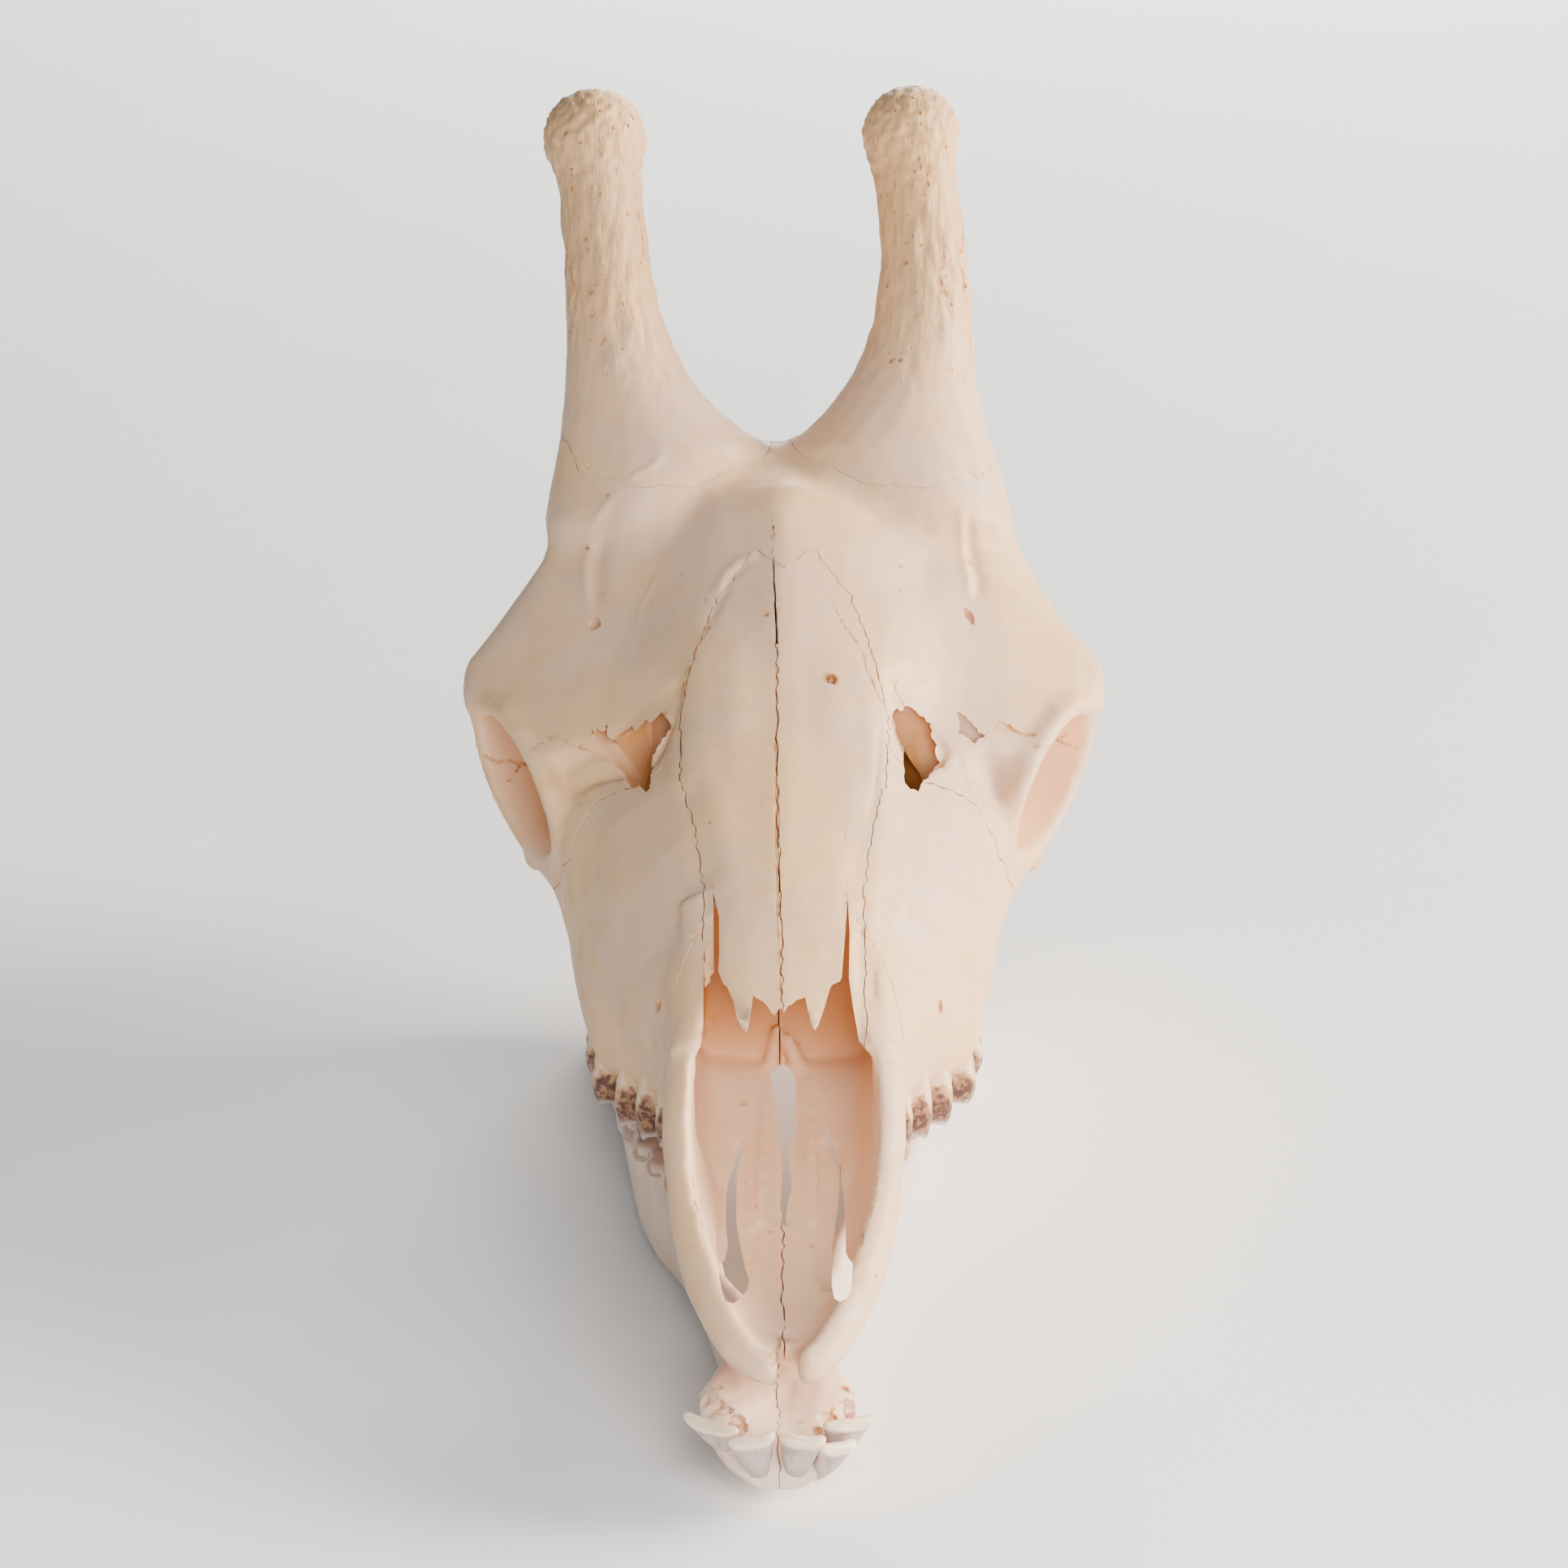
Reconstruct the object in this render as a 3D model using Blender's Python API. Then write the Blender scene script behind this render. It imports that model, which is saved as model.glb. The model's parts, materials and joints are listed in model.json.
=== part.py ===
"""A giraffe skull with its lower jaw, life size, lying at rest on the jaw.

Every size is in the skull's own frame: X to the animal's left, Y back from the tip of the upper jaw and
Z up from the level of the upper tooth sockets. The empty "rest_pose" then turns the skull nose down until
the lower edge of the jaw lies flat on the floor, and centres it.
"""

import math

import bmesh
import bpy
from mathutils import Matrix, Vector

MM = 0.001

# Gap left at the seams between bones, and the line the lower edge of the jaw rests on, as (y, z)
SUTURE = 0.3
REST_LINE = [(116, -75.6), (414, -100.0)]
REST_TILT = math.atan2(REST_LINE[0][1] - REST_LINE[1][1], REST_LINE[1][0] - REST_LINE[0][0])

# Fineness of the solids
BLEND_VOXEL, BLEND_SMOOTH = 3.5 * MM, 12
SKULL_VOXEL = 2.4 * MM
JAW_VOXEL = 2.4 * MM
SKULL_TRIANGLES = 7600
JAW_TRIANGLES = 2200
LEAST_GAP = 1e-6
PROFILE_STEPS = 4

SIDES = {"right": -1, "left": 1}

# Outer half sections of the skull, each from the top middle round the side to the bottom middle, as (x, z)
SKULL_SECTIONS = {
    3: [(0, -1), (5, -1), (10, -1), (13, -3), (14, -6), (12, -9), (7, -12), (0, -12)],
    15: [(0, 6), (8, 6), (16, 6), (22, 4), (24, -2), (21, -9), (12, -13), (0, -13)],
    32: [(0, 11), (10, 11), (22, 12), (29, 10), (32, 4), (29, -8), (16, -13), (0, -13)],
    55: [(0, 19), (14, 19), (28, 20), (36, 18), (40, 12), (37, -4), (22, -11), (0, -11)],
    85: [(0, 31), (18, 31), (34, 31), (43, 28), (46, 22), (41, -2), (24, -9), (0, -9)],
    112: [(0, 46), (20, 46), (38, 45), (47, 41), (49, 34), (42, 0), (25, -7), (0, -6)],
    150: [(0, 74), (22, 71), (38, 66), (47, 59), (49, 45), (44, 3), (28, -3), (0, -2)],
    178: [(0, 88), (22, 85), (36, 80), (46, 70), (51, 46), (46, 8), (32, 2), (0, 4)],
    205: [(0, 101), (24, 97), (35, 91), (49, 76), (66, 44), (56, 9), (40, 6), (0, 12)],
    240: [(0, 118), (34, 112), (46, 103), (64, 84), (81, 42), (79, -4), (54, -3), (0, 14)],
    275: [(0, 134), (38, 127), (50, 116), (74, 93), (91, 52), (84, -8), (56, -6), (0, 18)],
    300: [(0, 146), (40, 138), (50, 120), (76, 101), (98, 70), (83, -7), (55, -5), (0, 21)],
    320: [(0, 157), (41, 148), (52, 130), (78, 107), (96, 74), (80, -6), (53, -4), (0, 23)],
    340: [(0, 167), (42, 155), (64, 136), (84, 113), (86, 78), (64, 12), (44, 8), (0, 26)],
    385: [(0, 188), (44, 174), (74, 152), (86, 132), (74, 96), (56, 40), (34, 26), (0, 30)],
    420: [(0, 194), (48, 186), (78, 164), (82, 140), (66, 104), (55, 46), (34, 28), (0, 32)],
    460: [(0, 196), (46, 184), (68, 160), (68, 130), (63, 92), (57, 46), (34, 30), (0, 30)],
    510: [(0, 176), (40, 165), (58, 142), (64, 110), (64, 78), (57, 44), (30, 30), (0, 28)],
    545: [(0, 157), (32, 148), (50, 126), (60, 96), (62, 68), (52, 40), (28, 28), (0, 26)],
    562: [(0, 145), (24, 137), (42, 114), (54, 88), (54, 64), (42, 42), (24, 29), (0, 26)],
    574: [(0, 128), (18, 121), (33, 104), (45, 82), (44, 62), (34, 44), (20, 31), (0, 28)],
    582: [(0, 106), (13, 102), (25, 90), (34, 75), (34, 60), (27, 46), (16, 36), (0, 33)],
}

# Frontal bones: half the shelf from the middle out to the brow corner. Each (y, z) outline runs from the
# front edge over the top to the back and forward again underneath
FRONTAL_SECTIONS = {
    0: [(322, 150), (345, 166), (368, 182), (398, 198), (430, 201), (456, 200),
        (456, 165), (400, 145), (345, 135)],
    30: [(322, 146), (345, 159), (368, 174), (398, 191), (430, 200), (458, 200),
         (458, 160), (400, 140), (345, 128)],
    59: [(317, 121), (336, 133), (356, 147), (382, 166), (408, 187), (440, 206),
         (446, 155), (400, 130), (340, 112)],
    80: [(316, 109), (336, 121), (356, 134), (380, 152), (404, 172), (434, 194),
         (438, 145), (396, 120), (338, 104)],
    97: [(319, 105), (336, 116), (354, 126), (376, 141), (399, 159), (426, 179),
         (434, 138), (396, 116), (345, 102)],
    115: [(328, 104), (342, 111), (356, 118), (374, 129), (392, 142), (412, 152),
          (420, 128), (394, 112), (352, 101)],
    132: [(353, 105), (360, 111), (368, 117), (378, 124), (390, 132), (402, 127),
          (402, 114), (388, 105), (366, 102)],
    143.5: [(368, 106), (372, 110), (377, 115), (383, 119), (389, 120), (394, 115),
            (392, 107), (384, 101), (374, 101)],
}

# Nasal cavity. In front of the nasal bones it is open above: half widths at the rim, half way and at the
# floor, then the height of the floor
NOSE_OPEN = {
    12: (9, 8, 5, -2), 32: (20, 17, 12, -5), 55: (27, 24, 17, -5), 85: (35, 31, 22, -4),
    112: (38, 35, 26, -2), 132: (38, 37, 28, 0), 140: (36, 36, 28, 1),
}
NOSE_RIM = {12: 4, 32: 9, 55: 17, 85: 28, 112: 42, 132: 56, 140: 60}
NOSE_SECTIONS = {
    134: [(0, 56), (20, 56), (31, 54), (37, 46), (36, 20), (30, 5), (0, 1)],
    150: [(0, 69), (20, 66), (31, 60), (37, 48), (36, 20), (30, 6), (0, 3)],
    178: [(0, 83), (20, 80), (30, 73), (38, 55), (36, 25), (30, 10), (0, 8)],
    205: [(0, 96), (21, 92), (31, 85), (42, 66), (44, 38), (32, 18), (0, 16)],
    240: [(0, 113), (27, 107), (39, 96), (54, 76), (58, 46), (36, 22), (0, 20)],
    275: [(0, 129), (33, 121), (44, 108), (62, 84), (66, 54), (40, 26), (0, 24)],
    305: [(0, 143), (35, 133), (46, 112), (64, 90), (66, 62), (42, 32), (0, 30)],
    328: [(0, 148), (32, 138), (46, 114), (60, 94), (62, 66), (42, 38), (0, 36)],
    352: [(0, 142), (24, 132), (36, 115), (46, 98), (44, 74), (30, 54), (0, 50)],
}
SKY = 260.0

# Half outline of the front ends of the nasal bones and the notch beside them, as (x, y)
NASAL_TIPS = [(0, 153), (8, 158), (14, 146), (18, 158), (26, 164), (29.5, 190), (30, 214), (33.5, 214),
              (36, 190), (36.5, 165), (36, 150), (35, 132), (0, 132)]

# Openings beside the eye where the bones never met, as (x, y) seen from above
VACUITY = {
    "right": [(-43, 322), (-44, 308), (-52, 297), (-60, 292), (-66, 300), (-76, 306), (-88, 314), (-96, 320),
              (-88, 322), (-74, 322), (-60, 326)],
    "left": [(43, 322), (44, 308), (52, 295), (58, 290), (62, 300), (68, 306), (72, 316), (62, 320),
             (54, 326)],
}

# Horn cores (ossicones), per side: place and radius of the knob, half width of the shaft's neck, and the x of
# the shaft's outer edge at heights along the horn's axis above its root
OSSICONES = {
    "right": dict(
        knob=(-85.7, 520.0, 320.0), knob_r=24.7, neck=18.6,
        edge={-38: -109.0, -30: -108.5, -10: -105.5, 5: -102.0, 20: -99.8, 50: -98.6, 80: -99.4, 136: -103.0},
    ),
    "left": dict(
        knob=(57.3, 521.0, 322.2), knob_r=23.2, neck=18.8,
        edge={-38: 105.0, -30: 103.5, -15: 101.0, 0: 96.5, 15: 91.5, 28: 87.8, 60: 85.9, 95: 82.9, 136: 78.0},
    ),
}
HORN_ROOT = Vector((0.0, 448.0, 195.0))
HORN_KNOB = Vector((0.0, 520.0, 320.0))
HORN_HEIGHTS = [-38, -30, -20, -10, 0, 10, 22, 36, 52, 70, 90, 112, 136]
HORN_FLARE, HORN_FLARE_FADE = 34.0, 29.0
HORN_DEPTH, HORN_DEPTH_FLARE, HORN_DEPTH_FADE = 18.0, 17.0, 45.0

# Eye sockets: the rim is an ellipse through its front, back, bottom and top points
ORBIT_FRONT, ORBIT_BACK = Vector((98, 310, 81)), Vector((134, 378, 89))
ORBIT_BOTTOM, ORBIT_TOP = Vector((110, 336, 51)), Vector((122, 350, 110))
ORBIT_RIM = 5.2
ORBIT_DEPTH = 46.0

# Teeth, front to back: outer middle of the crown (x, y), socket level, crown height, length, width
UPPER_TEETH = {
    "p2": (51, 194, 9, 20, 17, 17), "p3": (59, 211, 5, 22, 18, 21), "p4": (68, 229, 0, 21, 19, 24),
    "m1": (78, 251, -4, 18, 25, 27), "m2": (82, 278, -7, 16, 27, 28), "m3": (81, 306, -6, 17, 28, 27),
}
LOWER_TEETH = {
    "p2": (44, 191, -33, 6, 14, 10), "p3": (51, 206, -33, 6, 16, 13), "p4": (57, 224, -36, 8.5, 19, 15),
    "m1": (62, 247, -38, 10.5, 25, 16), "m2": (66, 274, -40, 12.5, 28, 17),
    "m3": (69, 306, -42, 14.5, 34, 16),
}
# Front teeth: middle of the biting edge, width of the edge, root end and turn of the edge seen from above
FRONT_TEETH = {
    "right_first": ((-10.8, -9, -25), 18.0, (-7, 7, -51), 6),
    "left_first": ((8.8, -9, -25), 17.6, (6, 7, -51), -4),
    "right_outer": ((-28, 1, -25), 24.0, (-17, 12, -49), -28),
    "left_second": ((23, -5, -31), 16.0, (14.5, 9, -51), 18),
    "left_outer": ((27.5, 4, -26), 21.0, (21, 13, -48), 22),
}

# Lower jaw: inner and outer x, lower and upper z of one half at each y, then how far its top leans out and
# how much narrower its underside is
JAW_SECTIONS = {
    0: (0, 17, -55, -45, 0, 0.4), 8: (0, 28, -59, -33, 0, 0.5), 20: (0, 34, -61, -28, 0, 0.5),
    36: (0, 34, -62, -27, 0, 0.4), 50: (0, 28, -65, -27, 0, 0.4), 65: (0, 22, -68, -28, 0, 0.3),
    85: (0, 19.5, -73, -30, 0, 0.15), 100: (4, 22, -76, -32, 0, 0), 115: (12, 25.5, -77.2, -33.5, 0, 0),
    130: (18.5, 29, -77.8, -34, 1, 0), 150: (20.5, 31.5, -78.2, -34, 1, 0),
    180: (27, 40.5, -80.2, -34, 1.5, 0), 205: (34, 52, -82.2, -34, 1.5, 0),
    226: (38, 58, -84, -35.5, 1.5, 0), 250: (42, 61, -85.6, -37, 1.5, 0),
    300: (48, 66, -89.8, -40, 1.5, 0), 330: (52, 69, -92.8, -42, 1.5, 0), 362: (58, 73, -97, -42, 0, 0),
    385: (64, 77, -99.5, -46, 0, 0), 412: (69, 80, -101, -56, 0, 0),
}
# The jaw has slipped a little to the animal's right, more at the back
JAW_SHIFT, JAW_YAW = -1.8, math.radians(0.9)
RAMUS = [(352, -88), (380, -98), (410, -101), (438, -97), (456, -84), (466, -60), (473, -25), (480, 10),
         (488, 38), (486, 46), (470, 46), (462, 34), (450, 30), (440, 48), (435, 70), (430, 86), (421, 86),
         (414, 66), (407, 35), (395, 2), (378, -24), (352, -42)]
# The plate leans out from its front edge backwards: its x at y, and half its thickness
RAMUS_X, RAMUS_THICK = {352: 67.0, 420: 77.2, 450: 79.5}, 4.1
# How boxy a section of the jaw is, from 1 for an ellipse down, and how far the halves overlap before the cut
JAW_SQUARENESS, JAW_OVERLAP = 0.75, 3.0

# Seams between the bones. Nasal edge as (x, y) seen from above; the others as (y, z) seen from the side
NASAL_EDGE = [(33, 118), (33, 212), (37, 242), (43.5, 270), (44.5, 300), (38, 330), (29, 355), (13, 373),
              (0, 362)]
NASAL_FLOOR = [(100, 30), (225, 82), (300, 107), (332, 126), (345, 140), (392, 170)]
FACE_SEAM = [(290, 165), (286, 112), (298, 96), (290, 72), (304, 50), (331.5, 34), (331.5, -40)]
TIP_SEAM_LOW = [(66, -30), (74, 4), (96, 20), (130, 38), (148, 50)]
TIP_SEAM_HIGH = [(130, 38), (165, 62), (205, 96), (208, 116)]
PALATE_SEAM_Y, TIP_ROD_SEAM_Y = 331.5, 148
# Cup-shaped seam under each ossicone: (height along the horn, share of full width)
HORN_CUP = [(-31, 0.04), (-30, 0.22), (-26, 0.48), (-19, 0.70), (-9, 0.87), (5, 0.97), (22, 1.0),
            (60, 1.25), (175, 1.6)]
HORN_CUP_SIZE = (50.0, 52.0)
HORN_CUP_X = {"right": (-70, -52), "left": (66, 50)}

# A place on the surface of each bone, by which it is told apart after the seams are cut
BONES = {
    "cranium": (0, 520, 172),
    "ossicone_right": (-86, 520, 342), "ossicone_left": (57, 520, 341),
    "nasal_right": (-20, 250, 118), "nasal_left": (20, 250, 118),
    "maxilla_right": (-90, 262, 30), "maxilla_left": (90, 262, 30),
    "premaxilla_right": (-46, 100, 30), "premaxilla_left": (46, 100, 30),
}
JAW_HALVES = {"mandible_right": (-60, 260, -60), "mandible_left": (60, 260, -60)}

# Base colour and roughness of each kind of bone
FINISHES = {
    "cranium": ((0.69, 0.58, 0.49), 0.62), "ossicone": ((0.72, 0.59, 0.45), 0.72),
    "nasal": ((0.70, 0.60, 0.52), 0.6), "maxilla": ((0.67, 0.57, 0.49), 0.6),
    "premaxilla": ((0.76, 0.66, 0.55), 0.58), "mandible": ((0.68, 0.59, 0.53), 0.6),
}


def smooth_run(points, steps=PROFILE_STEPS):
    """Points of a Catmull-Rom curve through the given ones, ends included."""
    points = [Vector(p) for p in points]
    run = []
    for i in range(len(points) - 1):
        before = points[i - 1] if i else points[0] * 2 - points[1]
        after = points[i + 2] if i + 2 < len(points) else points[-1] * 2 - points[-2]
        a, b = points[i], points[i + 1]
        for k in range(steps):
            t = k / steps
            run.append(
                0.5 * ((2 * a) + (b - before) * t + (2 * before - 5 * a + 4 * b - after) * t * t
                       + (3 * a - before - 3 * b + after) * t ** 3)
            )
    return run + [points[-1]]


def whole_ring(half, y):
    """A closed ring across the skull at y, from a half section of (x, z) points."""
    run = smooth_run([(x, z) for x, z in half])
    right = [Vector((p.x, y, p.y)) for p in run]
    left = [Vector((-p.x, y, p.y)) for p in run[-2:0:-1]]
    return right + left


def new_object(name, bm):
    """A mesh object made from a bmesh in millimetres."""
    bmesh.ops.recalc_face_normals(bm, faces=bm.faces)
    bm.transform(Matrix.Scale(MM, 4))
    mesh = bpy.data.meshes.new(name)
    bm.to_mesh(mesh)
    bm.free()
    made = bpy.data.objects.new(name, mesh)
    bpy.context.scene.collection.objects.link(made)
    return made


def loft(name, rings):
    """A closed solid through rings of equal length, capped at both ends."""
    bm = bmesh.new()
    rows = [[bm.verts.new(p) for p in ring] for ring in rings]
    for low, high in zip(rows, rows[1:]):
        for i in range(len(low)):
            j = (i + 1) % len(low)
            bm.faces.new((low[i], low[j], high[j], high[i]))
    bm.faces.new(rows[0])
    bm.faces.new(rows[-1])
    return new_object(name, bm)


def ellipsoid(name, centre, radii, turn=None):
    """A closed ellipsoid; turn is a 3x3 rotation of its own axes."""
    bm = bmesh.new()
    bmesh.ops.create_icosphere(bm, subdivisions=3, radius=1.0)
    place = Matrix.Translation(Vector(centre)) @ (turn or Matrix.Identity(3)).to_4x4()
    bm.transform(place @ Matrix.Diagonal((*radii, 1.0)))
    return new_object(name, bm)


def tube(name, path, sizes, sides=12, flat=None, steps=3):
    """A tapering rod along a smooth path. sizes holds a radius, or (width, height) about flat, per point."""
    points = smooth_run(path, steps)
    radii = smooth_run([(s, s) if not hasattr(s, "__len__") else s for s in sizes], steps)
    rings = []
    for i, p in enumerate(points):
        along = (points[min(i + 1, len(points) - 1)] - points[max(i - 1, 0)]).normalized()
        wide = (flat or Vector((1, 0, 0)))
        wide = (wide - along * wide.dot(along)).normalized()
        high = along.cross(wide)
        turns = [2 * math.pi * k / sides for k in range(sides)]
        rings.append([p + wide * radii[i].x * math.cos(a) + high * radii[i].y * math.sin(a) for a in turns])
    return loft(name, rings)


def prism(name, outline, low, high, axis="Z"):
    """An outline pushed straight along an axis. The outline's two numbers are the other two axes in order."""
    def place(a, b, c):
        return {"X": (c, a, b), "Y": (a, c, b), "Z": (a, b, c)}[axis]
    return loft(name, [[Vector(place(a, b, c)) for a, b in outline] for c in (low, high)])


def apply_modifiers(made):
    """Bakes an object's modifiers into its mesh."""
    graph = bpy.context.evaluated_depsgraph_get()
    mesh = bpy.data.meshes.new_from_object(made.evaluated_get(graph))
    made.modifiers.clear()
    old = made.data
    made.data = mesh
    bpy.data.meshes.remove(old)
    return made


def remove(objects):
    """Deletes helper objects."""
    for made in objects:
        bpy.data.objects.remove(made)


def join_meshes(name, objects):
    """One object holding all the given closed meshes, still overlapping."""
    bm = bmesh.new()
    for made in objects:
        bm.from_mesh(made.data)
    mesh = bpy.data.meshes.new(name)
    bm.to_mesh(mesh)
    bm.free()
    remove(objects)
    made = bpy.data.objects.new(name, mesh)
    bpy.context.scene.collection.objects.link(made)
    return made


def boolean(made, tools, operation):
    """Cuts or joins with a collection of closed tools, which are then removed."""
    group = bpy.data.collections.new(made.name + "_tools")
    for tool in tools:
        group.objects.link(tool)
    step = made.modifiers.new("boolean", "BOOLEAN")
    step.operation = operation
    step.solver = "EXACT"
    step.operand_type = "COLLECTION"
    step.collection = group
    apply_modifiers(made)
    remove(tools)
    bpy.data.collections.remove(group)
    return made


def grow_together(made, voxel, smooth):
    """Fuses overlapping solids into one skin and rounds the joins, as bone grows."""
    skin = made.modifiers.new("skin", "REMESH")
    skin.mode = "VOXEL"
    skin.voxel_size = voxel
    soften = made.modifiers.new("soften", "SMOOTH")
    soften.factor = 0.5
    soften.iterations = smooth
    return apply_modifiers(made)


def thin_out(made, triangles):
    """Lowers the triangle count, keeping the shape."""
    bm = bmesh.new()
    bm.from_mesh(made.data)
    bmesh.ops.triangulate(bm, faces=bm.faces)
    bm.to_mesh(made.data)
    count = len(bm.faces)
    bm.free()
    step = made.modifiers.new("thin", "DECIMATE")
    step.ratio = min(1.0, triangles / count)
    return apply_modifiers(made)


def mirrored(point, sign):
    """The point on the named side."""
    return Vector((point[0] * sign, point[1], point[2]))


# Solid masses of the skull

def face_and_braincase():
    """The main body from the tip of the upper jaw to the back of the head."""
    return loft("body", [whole_ring(half, y) for y, half in SKULL_SECTIONS.items()])


def frontal_shelf():
    """The frontal bones, from one brow corner over the forehead to the other."""
    rings = []
    for x, outline in FRONTAL_SECTIONS.items():
        rings.append([Vector((x, y, z)) for y, z in outline])
    mirrored_rings = [[Vector((-p.x, p.y, p.z)) for p in ring] for ring in rings[:0:-1]]
    return loft("frontal", mirrored_rings + rings)


def between(table, at):
    """The value of a table of numbers at a place, read along straight lines."""
    keys = sorted(table)
    for low, high in zip(keys, keys[1:]):
        if at <= high:
            return table[low] + (table[high] - table[low]) * (at - low) / (high - low)
    return table[keys[-1]]


def horn_ring(horn, sign, height, sides=20):
    """One ring round a horn core at a height along its axis above the root."""
    axis = (HORN_KNOB - HORN_ROOT).normalized()
    middle = HORN_ROOT + axis * height
    up, down = max(height, 0.0), min(height, 0.0)
    half = horn["neck"] + HORN_FLARE * math.exp(-up / HORN_FLARE_FADE) + 0.3 * down
    deep = HORN_DEPTH + HORN_DEPTH_FLARE * math.exp(-up / HORN_DEPTH_FADE) - 0.12 * down
    middle.x = between(horn["edge"], height) - sign * half
    across = axis.cross(Vector((1, 0, 0))).normalized()
    turns = [2 * math.pi * k / sides for k in range(sides)]
    return [middle + Vector((1, 0, 0)) * half * math.cos(a) + across * deep * math.sin(a) for a in turns]


def horn_core(side, sign):
    """One ossicone: a flared root, a straight shaft and a round knob."""
    horn = OSSICONES[side]
    rings = [horn_ring(horn, sign, height) for height in HORN_HEIGHTS]
    radius = horn["knob_r"]
    return [loft("horn", rings), ellipsoid("knob", horn["knob"], (radius, radius * 0.98, radius))]


def orbit_frame(sign):
    """Centre, half axes and normal of an eye socket's rim."""
    front, back = mirrored(ORBIT_FRONT, sign), mirrored(ORBIT_BACK, sign)
    low, top = mirrored(ORBIT_BOTTOM, sign), mirrored(ORBIT_TOP, sign)
    centre = (front + back + low + top) / 4
    along, high = (back - front) / 2, (top - low) / 2
    normal = along.cross(high).normalized()
    if normal.x * sign < 0:
        normal = -normal
    return centre, along, high, normal


def eye_region(sign):
    """The brow shelf, the block round the socket and the socket's raised rim."""
    centre, along, high, normal = orbit_frame(sign)
    turns = [2 * math.pi * k / 16 for k in range(17)]
    rim = [centre + along * math.cos(a) + high * math.sin(a) for a in turns]
    block = [
        (centre - normal * 52 + Vector((0, 10, 6)), 46, 42),
        (centre - normal * 30, 42, 38),
        (centre - normal * 12, 39, 35),
        (centre - normal * 1, 36, 32),
    ]
    turns = [2 * math.pi * k / 20 for k in range(20)]
    u, v = along.normalized(), high.normalized()
    rings = [[p + u * a * math.cos(t) + v * b * math.sin(t) for t in turns] for p, a, b in block]
    return [loft("socket_block", rings)], [tube("rim", rim, [ORBIT_RIM] * len(rim), flat=normal, steps=1)]


def cheek_arch(sign):
    """The arch from under the eye back to the jaw joint, and the joint's seat."""
    s = sign
    return [
        tube("arch", [(110 * s, 345, 46), (115 * s, 380, 44), (112 * s, 420, 52), (104 * s, 452, 63),
                      (88 * s, 480, 70)],
             [(6, 11), (5, 10), (5, 9), (6, 8), (9, 8)]),
        ellipsoid("joint_seat", (78 * s, 484, 66), (25, 17, 11)),
        tube("cheek_crest", [(77 * s, 248, 26), (86 * s, 282, 42), (94 * s, 312, 50), (104 * s, 345, 48)],
             [5, 8, 9, 9]),
    ]


def skull_base(sign):
    """Wing bones behind the palate, ear capsule, neck joint and the process beside it."""
    s = sign
    return [
        tube("wing", [(34 * s, 318, 14), (28 * s, 350, 10), (25 * s, 395, 10), (23 * s, 430, 20),
                      (21 * s, 452, 28)],
             [(5, 20), (3.4, 18), (3, 17), (3, 12), (3, 6)]),
        ellipsoid("ear_capsule", (40 * s, 522, 24), (11, 19, 15)),
        tube("beside_neck", [(53 * s, 546, 50), (53 * s, 553, 22), (49 * s, 552, -3)], [14, 11, 6]),
        ellipsoid("mastoid", (58 * s, 540, 74), (13, 22, 28)),
        tube("ear_tube", [(58 * s, 514, 50), (78 * s, 512, 56)], [9, 7]),
        ellipsoid("condyle", (22 * s, 588, 44), (15, 18, 19),
                  Matrix.Rotation(math.radians(-24 * s), 3, "Z")),
    ]


def neck_crest():
    """The ridge across the top of the back of the head."""
    line = [(-60, 549, 78), (-51, 558, 106), (-29, 564, 132), (0, 568, 142), (29, 564, 132), (51, 558, 106),
            (60, 549, 78)]
    return tube("neck_crest", line, [6, 5.5, 5, 6.5, 5, 5.5, 6])


# Hollows of the skull

def open_nose():
    """The front of the nasal cavity, open above."""
    rings = []
    for y, (rim, middle, floor, low) in NOSE_OPEN.items():
        high = NOSE_RIM[y]
        half = [(0, SKY), (rim + 6, SKY), (rim, high), (middle, (high + low) / 2), (floor, low + 3), (0, low)]
        ring = [Vector((x, y, z)) for x, z in half] + [Vector((-x, y, z)) for x, z in half[-2:0:-1]]
        rings.append(ring)
    return loft("open_nose", rings)


def roofed_nose():
    """The nasal cavity under the nasal bones."""
    rings = []
    for y, half in NOSE_SECTIONS.items():
        right = [Vector((x, y, z)) for x, z in half]
        rings.append(right + [Vector((-p.x, y, p.z)) for p in right[-2:0:-1]])
    return loft("roofed_nose", rings)


def socket_hollow(sign):
    """The eye socket and the way from it to the hollow behind."""
    centre, along, high, normal = orbit_frame(sign)
    inner = centre - normal * 8
    turn = Matrix((along.normalized(), high.normalized(), normal)).transposed()
    reach = ellipsoid("reach", inner, (along.length - 4, high.length - 3, ORBIT_DEPTH), turn)
    mouth = ellipsoid("mouth", centre + normal * 14, (along.length - 3, high.length - 2, 34), turn)
    passage = ellipsoid("passage", (92 * sign, 404, 80), (20, 24, 27))
    return [reach, mouth, passage]


def palate_slit(sign):
    """A long opening in the palate beside the middle, as (x, y) lens."""
    points = [(17, 60), (22, 62), (26, 72), (27, 95), (25, 125), (22, 155), (18, 177), (15, 170), (15, 150),
              (16, 125), (15, 95), (14, 72)]
    return prism("slit", [(x * sign, y) for x, y in points], -30, 30)


def nasal_notches():
    """The jagged front ends of the nasal bones and the notches on both sides of them."""
    outline = [(-x, y) for x, y in NASAL_TIPS[:0:-1]] + NASAL_TIPS
    return prism("nasal_notches", outline, 34, SKY)


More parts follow.
